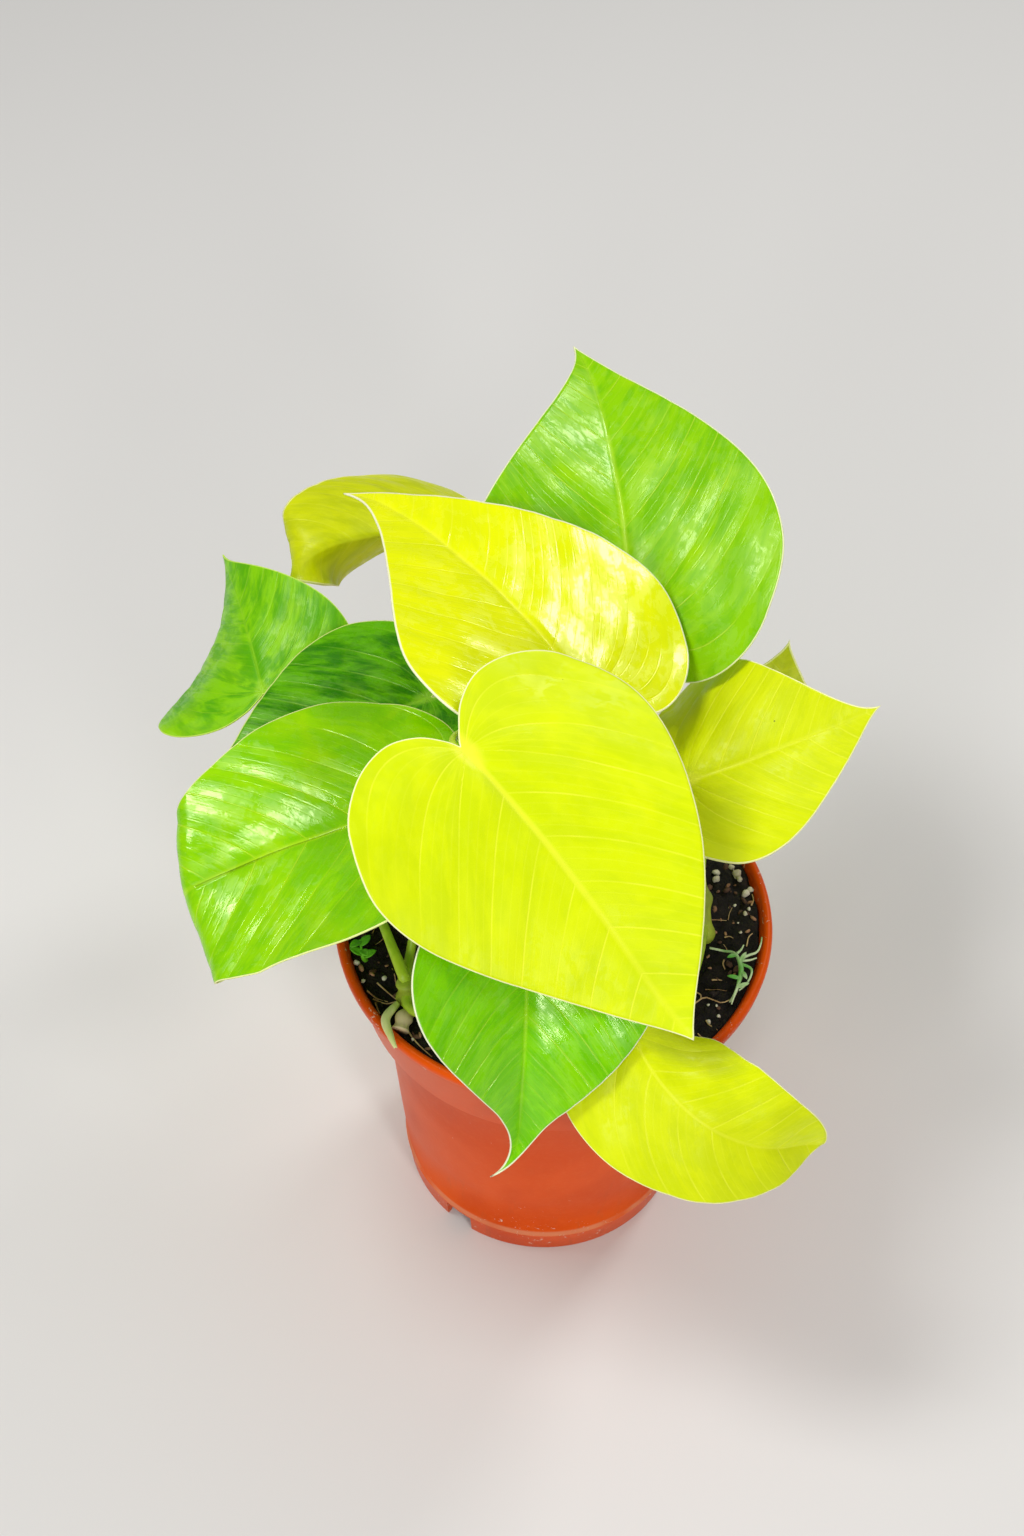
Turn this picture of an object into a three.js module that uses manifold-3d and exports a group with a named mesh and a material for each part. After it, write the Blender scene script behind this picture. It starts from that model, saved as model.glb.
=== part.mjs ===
// Potted heartleaf philodendron with lemon lime leaves, in a terracotta-coloured
// plastic nursery pot. Units are millimetres, +Z is up, and the pot's axis is
// vertical. Eleven heart-shaped leaves, each a blade on its own leaf stalk, spring
// from three short vine stems that stand in holes in the soil.

import * as THREE from 'three';
import Module from 'manifold-3d';
import { mergeVertices } from 'three/addons/utils/BufferGeometryUtils.js';

const wasm = await Module();
wasm.setup();

// Driving dimensions

// Nursery pot: outside diameters and heights above the surface it stands on
const RIM_DIAMETER = 120;
const POT_HEIGHT = 112;
const FOOT_DIAMETER = 82;
const LIP_HEIGHT = 4;
const COLLAR_BOTTOM = 85.5;
const COLLAR_TOP_RADIUS = 57.5;
const COLLAR_BOTTOM_RADIUS = 53.4;
const BODY_TOP_RADIUS = 48;
const WALL = 1.3;
const FLOOR_BOTTOM = 8;
const FLOOR_TOP = 9.5;
const FOOT_LINE_HEIGHT = 9;
const POT_SIDES = 60;

// Openings in the foot ring and drain holes in the raised floor
const FOOT_NOTCH_WIDTH = 8.9;
const FOOT_NOTCH_HEIGHT = 7.5;
const FOOT_NOTCH_ANGLES = [233.7, 353.7, 113.7];
const DRAIN_HOLES = 6;
const DRAIN_RADIUS = 4;
const DRAIN_CIRCLE_RADIUS = 24;

// Soil: mean height of the surface, and how rough it is
const SOIL_HEIGHT = 109.3;
const SOIL_ROUGHNESS = 1.2;
const SOIL_RINGS = 8;
const SOIL_SIDES = 40;
const GAP = 0.3;

// Leaves: blade thickness, and the stalk's radius at its foot and at the blade
const BLADE_THICKNESS = 0.8;
const STALK_FOOT_RADIUS = 1.5;
const STALK_TOP_RADIUS = 1.05;
const STALK_SIDES = 7;
const STALK_STEPS = 12;
const MARGIN_STEPS = 16;

// One half of a heart-shaped leaf, from the notch where the stalk joins, round the
// lobe and along the margin to the pointed tip: distance ahead of the notch over the
// leaf's length, and distance from the midrib over the half's width
const HEART = [
  [-0.02, 0],
  [-0.055, 0.05],
  [-0.115, 0.18],
  [-0.15, 0.38],
  [-0.125, 0.63],
  [-0.04, 0.86],
  [0.1, 0.985],
  [0.22, 0.99],
  [0.36, 0.9],
  [0.52, 0.71],
  [0.67, 0.49],
  [0.81, 0.27],
  [0.91, 0.11],
  [0.965, 0.035],
  [1, 0],
];

// Short vine stems: the line that each follows, from inside the soil upwards
const VINES = [
  {
    name: 'vine_left',
    colour: 0x9aa63a,
    radius: 3,
    line: [[-35.8, -31.2, 93], [-37.5, -29.5, 105], [-39, -27.5, 117]],
  },
  {
    name: 'vine_right',
    colour: 0x8fae34,
    radius: 3.2,
    line: [[41, -8, 91], [40.6, -5.5, 104], [40.3, -1.5, 112.5], [38.6, 6, 119.5], [37.6, 9.5, 123]],
  },
  {
    name: 'vine_back',
    colour: 0x8fae34,
    radius: 3.4,
    line: [[0, 17, 88], [2, 20, 105], [5, 23, 124]],
  },
];

// Leaves. notch is where stalk and blade meet. yaw is the compass direction of the
// midrib from +X towards +Y, pitch its rise, and roll the lean to the side, in
// degrees. full bends the outline between slim (over 1) and broad (under 1), lobe
// lengthens the two lobes behind the notch. fold is each half's rise from the midrib
// and curl how far that half turns down on its way to the margin. droop turns the
// midrib down along the whole leaf, hook its last third, bend turns it to the left
// in the leaf's own plane, twist turns the tip about the midrib, and tipBend turns
// only the very tip. foldEnd is the fold at the tip, where it isn't the same all
// along, and drip the length of the narrow tip. tuck is where the leaf's end rolls
// under, if it does, and lean how much sooner it does so on the right half.
const LEAVES = [
  {
    name: 'leaf_front', colour: 0xdcec12, vine: 'vine_back',
    notch: [-24.5, -2, 181], length: 93, width: [49, 45], full: [0.85, 0.97], lobe: 0.99,
    yaw: -40, pitch: -23, roll: -3, fold: [7, 0], curl: [-16, -9],
    droop: -21, hook: 21, bend: -2, twist: 33,
    stalk: [[-1, 21, 117], [-8, 26, 140], [-24, 14, 170]],
  },
  {
    name: 'leaf_upper', colour: 0xe8f20a, vine: 'vine_back',
    notch: [6, 36, 164], length: 92.5, width: [47, 44], full: [1.25, 1.11], lobe: 1.09,
    yaw: 130, pitch: 20, roll: 18, fold: [9, 4], curl: [-8, 3],
    droop: -28, hook: -12, bend: 3, twist: -16, drip: 0.05,
    stalk: [[7, 26, 122], [12, 27, 140], [13, 29, 156]],
  },
  {
    name: 'leaf_top', colour: 0x8ed21c, vine: 'vine_back',
    notch: [19.5, 74.5, 149.5], length: 93, width: [47, 47], full: [1.06, 1.13], lobe: 1.31,
    yaw: 93, pitch: 30, roll: 0, fold: [9, 31], curl: [5, 0],
    droop: -28, hook: -1, bend: 14, twist: 15, tipBend: 8, drip: 0.05,
    stalk: [[8, 26, 118], [17, 40, 132], [20, 62, 144]],
  },
  {
    name: 'leaf_right', colour: 0xdeea20, vine: 'vine_right',
    notch: [35.5, 26, 138.5], length: 56, width: [39, 32], full: [1.29, 1.11], lobe: 1,
    yaw: 9, pitch: 23, roll: 5, fold: [5, 12], curl: [-45, 0],
    droop: 3, hook: 11, bend: 1, twist: 42,
    stalk: [[36.2, 13.5, 122], [33.3, 18.5, 128], [31, 23, 133]],
  },
  {
    name: 'leaf_left', colour: 0x93cf22, vine: 'vine_left',
    notch: [-38.5, -1, 157], length: 91, width: [38, 39], full: [0.42, 0.97], lobe: 1.23,
    yaw: 196, pitch: -7, roll: 4, fold: [9, 12], foldEnd: [-1, 15], curl: [5, -12],
    droop: -19, hook: 1, bend: 4, twist: -25, tuck: 60, lean: 0.31,
    stalk: [[-39, -22, 113], [-38, -15, 117], [-33, 0, 147]],
  },
  {
    name: 'leaf_bottom', colour: 0x77c81a, vine: 'vine_left',
    notch: [-7.5, -36, 146.5], length: 58, width: [34.5, 32], full: [1.12, 1.37], lobe: 1,
    yaw: -88, pitch: -35, roll: -6, fold: [25, 13], foldEnd: [36, 28], curl: [-45, 8],
    droop: -49, hook: 28, bend: 1, twist: 0, tipBend: -21, drip: 0.16,
    stalk: [[-38.3, -33, 113.2], [-34, -37, 116], [-22, -33, 124], [-10, -26, 137]],
  },
  {
    name: 'leaf_low_right', colour: 0xdfee18, vine: 'vine_right',
    notch: [20, -50, 129], length: 71, width: [24, 25.5], full: [0.44, 0.73], lobe: 1,
    yaw: -66, pitch: -22, roll: -13, fold: [-13, -39], foldEnd: [36, 23], curl: [-46, -17],
    droop: -20, hook: 3, bend: 103, twist: 49, tipBend: -34,
    stalk: [[40.4, -7, 114], [36, -27, 119], [26, -44.5, 124.5]],
  },
  {
    name: 'leaf_far_left', colour: 0x86c91e, vine: 'vine_left',
    notch: [-86.5, 74, 117], length: 54, width: [37, 30], full: [1.15, 1.14], lobe: 0.81,
    yaw: 106, pitch: 14, roll: -13, fold: [-14, -6], curl: [0, -12],
    droop: -19, hook: 11, bend: 8, twist: -57,
    stalk: [[-42.2, -20.4, 118.2], [-54, 8, 119], [-76, 48, 115]],
  },
  {
    name: 'leaf_curled', colour: 0xc9d418, vine: 'vine_back',
    notch: [-28.5, 129.5, 126], length: 61, width: [31, 35.5], full: [0.55, 0.38], lobe: 1.01,
    yaw: 193, pitch: 28, roll: 12, fold: [-148, 23], foldEnd: [-49, 16], curl: [-56, -46],
    droop: -39, hook: -56, bend: 10, twist: -9, tipBend: -62,
    stalk: [[-1, 29, 115], [-8, 62, 121], [-19, 106, 126]],
  },
  {
    name: 'leaf_mid_left', colour: 0x5aa81c, vine: 'vine_back',
    notch: [-37.5, 61.5, 130], length: 71, width: [34, 35], full: [1, 1.02], lobe: 1,
    yaw: 204, pitch: -2, roll: 1, fold: [5, 6], curl: [-6, -8],
    droop: -18, hook: 3, bend: 2, twist: -6,
    stalk: [[-3, 26, 112], [-16, 42, 118], [-31, 62, 126]],
  },
  {
    name: 'leaf_small', colour: 0xd2d83a, vine: 'vine_right',
    notch: [55, 43.5, 124], length: 49, width: [22, 22], full: [1.2, 1.1], lobe: 0.99,
    yaw: 74, pitch: 5, roll: 3, fold: [-1, -4], curl: [-8, -12],
    droop: -5, hook: 18, bend: 2, twist: 0,
    stalk: [[39.8, 11, 117.6], [41.8, 22, 119], [51, 36, 122.6]],
  },
];

// Colours that are not a leaf's or a vine's
const POT_COLOUR = 0xb4491c;
const SOIL_COLOUR = 0x241c16;
const SHEATH_COLOUR = 0xc6bf56;
const WEED_COLOUR = 0x6fa33a;

const radians = THREE.MathUtils.degToRad;
const vector = (p) => new THREE.Vector3(p[0], p[1], p[2]);

// Turns a closed geometry into a solid, and a solid back into a geometry
function solidOf(geometry) {
  const bare = geometry.clone();
  for (const name of Object.keys(bare.attributes)) {
    if (name !== 'position') bare.deleteAttribute(name);
  }
  const merged = mergeVertices(bare, 1e-4);
  const mesh = new wasm.Mesh({
    numProp: 3,
    vertProperties: new Float32Array(merged.attributes.position.array),
    triVerts: new Uint32Array(merged.index.array),
  });
  mesh.merge();
  return new wasm.Manifold(mesh);
}

function geometryOf(solid) {
  const mesh = solid.getMesh();
  const geometry = new THREE.BufferGeometry();
  const array = new Float32Array(mesh.vertProperties);
  geometry.setAttribute('position', new THREE.BufferAttribute(array, 3));
  geometry.setIndex(new THREE.BufferAttribute(new Uint32Array(mesh.triVerts), 1));
  geometry.computeVertexNormals();
  return geometry;
}

// A tapering round stem: a cylinder bent along a curve. radiusAt gives the radius
// from the fraction of the way along
function stemGeometry(curve, radiusAt, steps, sides) {
  const geometry = new THREE.CylinderGeometry(1, 1, 1, sides, steps);
  const frames = curve.computeFrenetFrames(steps, false);
  const position = geometry.attributes.position;
  for (let i = 0; i < position.count; i += 1) {
    const along = position.getY(i) + 0.5;
    const step = Math.round(along * steps);
    const radius = radiusAt(along);
    const point = curve.getPointAt(along);
    point.addScaledVector(frames.normals[step], position.getX(i) * radius);
    point.addScaledVector(frames.binormals[step], -position.getZ(i) * radius);
    position.setXYZ(i, point.x, point.y, point.z);
  }
  return geometry;
}

// A pseudo-random sequence that is the same each time
function seededRandom(seed) {
  let state = seed;
  return () => {
    state = (state * 1664525 + 1013904223) % 4294967296;
    return state / 4294967296;
  };
}

// Pot: one closed wall profile turned about the axis, then the notches in the foot
// ring and the drain holes are cut
function potSolid() {
  const rim = RIM_DIAMETER / 2;
  const foot = FOOT_DIAMETER / 2;
  const lipBottom = POT_HEIGHT - LIP_HEIGHT;
  const bodyRadius = (z) => foot + (BODY_TOP_RADIUS - foot) * (z / COLLAR_BOTTOM);
  const profile = [
    [0, FLOOR_BOTTOM],
    [foot - 3, FLOOR_BOTTOM],
    [foot - 1.7, 0],
    [foot, 0],
    [bodyRadius(FOOT_LINE_HEIGHT) + 0.3, FOOT_LINE_HEIGHT],
    [bodyRadius(FOOT_LINE_HEIGHT) - 0.2, FOOT_LINE_HEIGHT + 0.6],
    [BODY_TOP_RADIUS, COLLAR_BOTTOM],
    [COLLAR_BOTTOM_RADIUS, COLLAR_BOTTOM + 0.8],
    [COLLAR_TOP_RADIUS, lipBottom - 0.6],
    [rim - 0.5, lipBottom],
    [rim, POT_HEIGHT - 1.5],
    [rim - 0.5, POT_HEIGHT - 0.4],
    [rim - 1.4, POT_HEIGHT],
    [rim - 2.3, POT_HEIGHT - 0.4],
    [rim - 2.8, POT_HEIGHT - 1.6],
    [COLLAR_TOP_RADIUS - WALL - 0.1, lipBottom - 0.5],
    [COLLAR_BOTTOM_RADIUS - WALL, COLLAR_BOTTOM + 1.9],
    [BODY_TOP_RADIUS - WALL, COLLAR_BOTTOM + 1.3],
    [bodyRadius(FLOOR_TOP) - WALL, FLOOR_TOP],
    [0, FLOOR_TOP],
  ];
  const points = profile.map(([r, z]) => new THREE.Vector2(r, z));
  const wall = new THREE.LatheGeometry(points, POT_SIDES);
  wall.rotateX(Math.PI / 2);
  let pot = solidOf(wall);
  for (const angle of FOOT_NOTCH_ANGLES) {
    const notch = new THREE.BoxGeometry(6, FOOT_NOTCH_WIDTH, FOOT_NOTCH_HEIGHT + 5);
    notch.translate(foot, 0, (FOOT_NOTCH_HEIGHT - 5) / 2);
    notch.rotateZ(radians(angle));
    pot = pot.subtract(solidOf(notch));
  }
  for (let i = 0; i < DRAIN_HOLES; i += 1) {
    const hole = new THREE.CylinderGeometry(DRAIN_RADIUS, DRAIN_RADIUS, 6, 12);
    hole.rotateX(Math.PI / 2);
    hole.translate(DRAIN_CIRCLE_RADIUS, 0, FLOOR_TOP - 1);
    hole.rotateZ(radians((360 / DRAIN_HOLES) * i));
    pot = pot.subtract(solidOf(hole));
  }
  return pot;
}

// Soil surface: low waves of several lengths, almost as high as the pot's lip
function soilHeight(x, y) {
  const coarse = Math.sin(x * 0.21 + 1.3) * Math.cos(y * 0.17 - 0.4);
  const middle = Math.sin(x * 0.47 - y * 0.38 + 2.1);
  const fine = Math.sin(x * 0.93 + 0.7) * Math.sin(y * 1.07 + 1.9);
  return SOIL_HEIGHT + SOIL_ROUGHNESS * (0.5 * coarse + 0.3 * middle + 0.3 * fine);
}

function soilSolid() {
  const wallRadius = (z) => {
    const foot = FOOT_DIAMETER / 2 - WALL;
    const body = foot + (BODY_TOP_RADIUS - WALL - foot) * (z / COLLAR_BOTTOM);
    return body - GAP - 0.1;
  };
  const topRadius = COLLAR_TOP_RADIUS - WALL - 0.5;
  const profile = [
    [0, FLOOR_TOP + GAP],
    [wallRadius(FLOOR_TOP) - 0.1, FLOOR_TOP + GAP],
    [BODY_TOP_RADIUS - WALL - 0.4, COLLAR_BOTTOM + 1.6],
    [COLLAR_BOTTOM_RADIUS - WALL - 0.4, COLLAR_BOTTOM + 2.4],
  ];
  for (let ring = 0; ring < SOIL_RINGS; ring += 1) {
    profile.push([topRadius * (1 - ring / SOIL_RINGS), SOIL_HEIGHT]);
  }
  profile.push([0, SOIL_HEIGHT]);
  const points = profile.map(([r, z]) => new THREE.Vector2(r, z));
  const geometry = new THREE.LatheGeometry(points, SOIL_SIDES);
  geometry.rotateX(Math.PI / 2);
  const position = geometry.attributes.position;
  for (let i = 0; i < position.count; i += 1) {
    if (position.getZ(i) > SOIL_HEIGHT - 1) {
      position.setZ(i, soilHeight(position.getX(i), position.getY(i)));
    }
  }
  return solidOf(geometry);
}

// Curve through points, longer by extra at both ends
function longerCurve(line, extra) {
  const points = line.map(vector);
  const start = points[0].clone().sub(points[1]).setLength(extra);
  const end = points.at(-1).clone().sub(points.at(-2)).setLength(extra);
  points[0].add(start);
  points.at(-1).add(end);
  return new THREE.CatmullRomCurve3(points);
}

// Vine stem with swollen leaf joints. grow widens it, for cutting its neighbours
function vineSolid(vine, grow) {
  const curve = longerCurve(vine.line, grow);
  const radiusAt = (along) => {
    const joints = 0.35 * Math.cos(along * Math.PI * 4) ** 4;
    return vine.radius * (0.86 + joints) + grow;
  };
  return solidOf(stemGeometry(curve, radiusAt, 16, 10));
}

// Point of the blade for a place on the flat leaf: x ahead of the notch, y to the
// left of the midrib. Returned in the leaf's own frame, with z out of its upper face
function bentBlade(leaf, x, y) {
  const side = y >= 0 ? 0 : 1;
  const out = Math.abs(y);
  const reach = THREE.MathUtils.clamp(x / leaf.length, -0.4, 1.4);
  const foldEnd = leaf.foldEnd || leaf.fold;
  const share = THREE.MathUtils.clamp(reach, 0, 1);
  const fold = radians(THREE.MathUtils.lerp(leaf.fold[side], foldEnd[side], share));
  const turn = radians(leaf.curl[side] || -0.01) / leaf.width[side];
  const across = (Math.sin(fold + turn * out) - Math.sin(fold)) / turn;
  const rise = -(Math.cos(fold + turn * out) - Math.cos(fold)) / turn;
  const slope = (q) => {
    const end = Math.max((q - 0.6) / 0.4, 0);
    return radians(leaf.droop) * q + radians(leaf.hook) * end * end;
  };
  const heading = (q) => {
    const end = Math.max((q - 0.8) / 0.2, 0);
    return radians(leaf.bend) * Math.max(q, 0) + radians(leaf.tipBend || 0) * end * end;
  };
  const direction = (q) => new THREE.Vector3(
    Math.cos(slope(q)) * Math.cos(heading(q)),
    Math.cos(slope(q)) * Math.sin(heading(q)),
    Math.sin(slope(q)),
  );
  const midrib = new THREE.Vector3();
  const steps = 24;
  for (let i = 0; i < steps; i += 1) {
    const q = (reach * (i + 0.5)) / steps;
    midrib.addScaledVector(direction(q), (reach * leaf.length) / steps);
  }
  const left = new THREE.Vector3(-Math.sin(heading(reach)), Math.cos(heading(reach)), 0);
  const ahead = direction(reach);
  const twist = radians(leaf.twist) * Math.max(reach, 0);
  left.applyAxisAngle(ahead, twist);
  const up = new THREE.Vector3().crossVectors(ahead, left);
  midrib.addScaledVector(left, side === 0 ? across : -across);
  return midrib.addScaledVector(up, rise);
}

// Radius and greatest turn of a leaf end that rolls under
const TUCK_RADIUS = 4;
const TUCK_TURN = radians(130);

function tuckLine(leaf, y) {
  return leaf.tuck + leaf.lean * Math.min(y, 0);
}

function bladePoint(leaf, x, y) {
  if (!leaf.tuck || x <= tuckLine(leaf, y)) return bentBlade(leaf, x, y);
  const line = tuckLine(leaf, y);
  const start = bentBlade(leaf, line, y);
  const ahead = bentBlade(leaf, line + 0.05, y).sub(start).normalize();
  const left = bentBlade(leaf, line, y + 0.05).sub(start).normalize();
  const up = new THREE.Vector3().crossVectors(ahead, left).normalize();
  const past = x - line;
  const turn = Math.min(past / TUCK_RADIUS, TUCK_TURN);
  const rest = Math.max(past - TUCK_RADIUS * TUCK_TURN, 0);
  const forward = TUCK_RADIUS * Math.sin(turn) + rest * Math.cos(TUCK_TURN);
  const down = TUCK_RADIUS * (1 - Math.cos(turn)) + rest * Math.sin(TUCK_TURN);
  return start.addScaledVector(ahead, forward).addScaledVector(up, -down);
}

// How far along half the margin its points lie. They lie closer together where the
// margin of a rolled leaf goes under
function marginShares(leaf) {
  const shares = [];
  for (let i = 0; i <= 8 * MARGIN_STEPS; i += 1) {
    const share = i / (8 * MARGIN_STEPS);
    const rolls = leaf.tuck && share > 0.63 && share < 0.79;
    if (rolls || i % 8 === 0) shares.push(share);
  }
  return shares;
}

// The leaf's outline as flat points, from the tip round the left half and back
// along the right half
function outlinePoints(leaf) {
  const heart = new THREE.SplineCurve(HEART.map(([x, y]) => new THREE.Vector2(x, y)));
  const half = (side) => {
    const points = [];
    for (const share of marginShares(leaf)) {
      const p = heart.getPoint(share);
      const blend = THREE.MathUtils.clamp((p.x - 0.16) / 0.4, 0, 1);
      const power = 1 + (leaf.full[side] - 1) * blend;
      const y = p.y > 0 ? p.y ** power * leaf.width[side] : 0;
      const drip = (leaf.drip || 0) * Math.max((p.x - 0.75) / 0.25, 0) ** 2;
      const x = leaf.length * (p.x * (p.x < 0 ? leaf.lobe : 1) + drip);
      points.push([x, side === 0 ? y : -y]);
    }
    return points;
  };
  return [...half(0).reverse(), ...half(1).slice(1, -1)];
}

// Where the rings of points lie: the share of the way to the line where the leaf
// rolls under, and then of the way from that line to the margin
const PLAIN_RINGS = [[0.28, 0], [0.55, 0], [0.8, 0], [1, 0]];
const TUCKED_RINGS = [
  [0.35, 0],
  [0.7, 0],
  [1, 0],
  [1, 0.1],
  [1, 0.2],
  [1, 0.3],
  [1, 0.42],
  [1, 1],
];

// Closed blade: rings of points from inside the leaf out to its margin, once on the
// upper face and once on the lower, split into triangles alike, with a narrow rim
function bladeGeometry(leaf) {
  const outline = outlinePoints(leaf);
  const count = outline.length;
  const centre = 0.06 * leaf.length;
  const rings = leaf.tuck ? TUCKED_RINGS : PLAIN_RINGS;
  const flat = [[centre, 0]];
  for (const [before, after] of rings) {
    for (const [x, y] of outline) {
      const back = x - centre - leaf.lean * Math.min(y, 0);
      const crossing = x > tuckLine(leaf, y) ? (leaf.tuck - centre) / back : 1;
      const fold = !leaf.tuck ? 1 : crossing < 1 ? Math.min(crossing, 0.96) : 0.82;
      const ring = fold * before + (1 - fold) * after;
      flat.push([centre + (x - centre) * ring, y * ring]);
    }
  }
  const upper = [];
  const lower = [];
  const small = 0.4;
  for (const [x, y] of flat) {
    const ahead = bladePoint(leaf, x + small, y).sub(bladePoint(leaf, x - small, y));
    const left = bladePoint(leaf, x, y + small).sub(bladePoint(leaf, x, y - small));
    const up = new THREE.Vector3().crossVectors(ahead, left).normalize();
    const middle = bladePoint(leaf, x, y);
    upper.push(...middle.clone().addScaledVector(up, BLADE_THICKNESS / 2).toArray());
    lower.push(...middle.clone().addScaledVector(up, -BLADE_THICKNESS / 2).toArray());
  }
  const under = flat.length;
  const index = [];
  const addFace = (a, b, c) => {
    index.push(a, b, c);
    index.push(a + under, c + under, b + under);
  };
  for (let i = 0; i < count; i += 1) {
    const next = (i + 1) % count;
    addFace(0, 1 + i, 1 + next);
    for (let ring = 0; ring + 1 < rings.length; ring += 1) {
      const inner = 1 + ring * count;
      const outer = inner + count;
      addFace(inner + i, outer + i, outer + next);
      addFace(inner + i, outer + next, inner + next);
    }
    const rim = 1 + (rings.length - 1) * count;
    index.push(rim + i, rim + i + under, rim + next + under);
    index.push(rim + i, rim + next + under, rim + next);
  }
  const geometry = new THREE.BufferGeometry();
  const array = new Float32Array([...upper, ...lower]);
  geometry.setAttribute('position', new THREE.BufferAttribute(array, 3));
  geometry.setIndex(index);
  return geometry;
}

// Places a leaf's own frame in the plant
function leafMatrix(leaf) {
  const yaw = radians(leaf.yaw);
  const pitch = radians(leaf.pitch);
  const ahead = new THREE.Vector3(
    Math.cos(pitch) * Math.cos(yaw),
    Math.cos(pitch) * Math.sin(yaw),
    Math.sin(pitch),
  );
  const left = new THREE.Vector3(-Math.sin(yaw), Math.cos(yaw), 0);
  left.applyAxisAngle(ahead, radians(leaf.roll));
  const up = new THREE.Vector3().crossVectors(ahead, left);
  const matrix = new THREE.Matrix4().makeBasis(ahead, left, up);
  return matrix.setPosition(vector(leaf.notch));
}

// Leaf stalk: from its vine, up under the canopy, and into the notch from below
function stalkGeometry(leaf) {
  const vine = VINES.find((v) => v.name === leaf.vine);
  const line = new THREE.CatmullRomCurve3(vine.line.map(vector));
  const first = vector(leaf.stalk[0]);
  let foot = line.getPoint(0.5);
  for (let t = 0.5; t <= 0.96; t += 0.02) {
    const point = line.getPoint(t);
    if (point.distanceTo(first) < foot.distanceTo(first)) foot = point;
  }
  const matrix = leafMatrix(leaf);
  const end = bladePoint(leaf, 2.2, 0).applyMatrix4(matrix);
  const before = new THREE.Vector3(-3.5, 0, -2.2).applyMatrix4(matrix);
  const points = [foot, ...leaf.stalk.map(vector), before, end];
  const curve = new THREE.CatmullRomCurve3(points, false, 'centripetal');
  const radiusAt = (along) => THREE.MathUtils.lerp(STALK_FOOT_RADIUS, STALK_TOP_RADIUS, along);
  return stemGeometry(curve, radiusAt, STALK_STEPS, STALK_SIDES);
}

function leafSolid(leaf) {
  const blade = bladeGeometry(leaf).applyMatrix4(leafMatrix(leaf));
  const vine = VINES.find((v) => v.name === leaf.vine);
  const leafAndStalk = solidOf(blade).add(solidOf(stalkGeometry(leaf)));
  const bodies = leafAndStalk.subtract(vineSolid(vine, 1.5 * GAP)).decompose();
  // where a folded blade meets its stalk a sliver can come off: only the leaf is kept
  return bodies.reduce((kept, body) => (body.volume() > kept.volume() ? body : kept));
}

// Small flat leaf or scale of an ellipse's outline, standing at the given place
function smallLeaf(size, place, yaw, pitch) {
  const geometry = new THREE.SphereGeometry(1, 6, 4);
  geometry.scale(size[0] / 2, size[1] / 2, size[2] / 2);
  geometry.translate(size[0] / 2, 0, 0);
  geometry.rotateY(-radians(pitch));
  geometry.rotateZ(radians(yaw));
  geometry.translate(place[0], place[1], place[2]);
  return solidOf(geometry);
}

// Dry sheath that curls away from the left vine's joint
function sheathSolid() {
  const curve = new THREE.CatmullRomCurve3([
    new THREE.Vector3(-41.2, -32, 112.8),
    new THREE.Vector3(-43.8, -37.5, 114),
    new THREE.Vector3(-42.2, -43, 114),
    new THREE.Vector3(-40.7, -46.6, 113.6),
  ]);
  const radiusAt = (along) => 0.35 + 0.7 * Math.sin(Math.PI * (0.22 + 0.74 * along));
  return solidOf(stemGeometry(curve, radiusAt, 12, 8));
}

// Weed seedling: a thread-like stalk out of the soil with small leaves along it
function weedSolid(line, leafSize, firstLeaf, seed) {
  const random = seededRandom(seed);
  const curve = new THREE.CatmullRomCurve3(line.map(vector));
  let weed = solidOf(stemGeometry(curve, () => 0.45, 2 * line.length, 5));
  for (let i = 0; i < 5; i += 1) {
    const place = curve.getPointAt(firstLeaf + 0.09 * i).toArray();
    const yaw = 137 * i + 40 * random();
    weed = weed.add(smallLeaf(leafSize, place, yaw, 10 + 30 * random()));
  }
  return weed;
}

const WEED_LEFT_LINE = [[-48.5, -14.5, 103.5], [-50.3, -15.6, 108], [-51.4, -16, 111.7], [-52.3, -12.5, 114]];
const WEED_RIGHT_LINE = [[45.5, -24.5, 103.5], [47.2, -25.6, 108], [48.6, -24.8, 111.4],
  [49.8, -21.5, 112], [50.6, -16.5, 112.2], [49, -12, 112.4], [46, -11.2, 112.2], [42.3, -10.2, 112]];

function addPart(group, name, solid, colour, roughness) {
  const material = new THREE.MeshStandardMaterial({ color: colour, roughness, metalness: 0 });
  const mesh = new THREE.Mesh(geometryOf(solid), material);
  mesh.name = name;
  group.add(mesh);
}

const plant = new THREE.Group();
addPart(plant, 'pot', potSolid(), POT_COLOUR, 0.45);

let soil = soilSolid();
for (const vine of VINES) {
  addPart(plant, vine.name, vineSolid(vine, 0), vine.colour, 0.5);
  soil = soil.subtract(vineSolid(vine, 1.5 * GAP));
}
for (const [name, line, size, firstLeaf, seed] of [
  ['weed_left', WEED_LEFT_LINE, [3.6, 2.2, 0.8], 0.6, 5],
  ['weed_right', WEED_RIGHT_LINE, [4, 1.8, 0.8], 0.38, 11],
]) {
  const weed = weedSolid(line, size, firstLeaf, seed);
  addPart(plant, name, weed, WEED_COLOUR, 0.6);
  const hole = stemGeometry(longerCurve(line, GAP), () => 0.45 + 2 * GAP, 2 * line.length, 5);
  soil = soil.subtract(solidOf(hole));
}
addPart(plant, 'sheath_left', sheathSolid(), SHEATH_COLOUR, 0.6);
for (const leaf of LEAVES) {
  addPart(plant, leaf.name, leafSolid(leaf), leaf.colour, 0.3);
}
addPart(plant, 'soil', soil, SOIL_COLOUR, 0.95);

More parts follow.
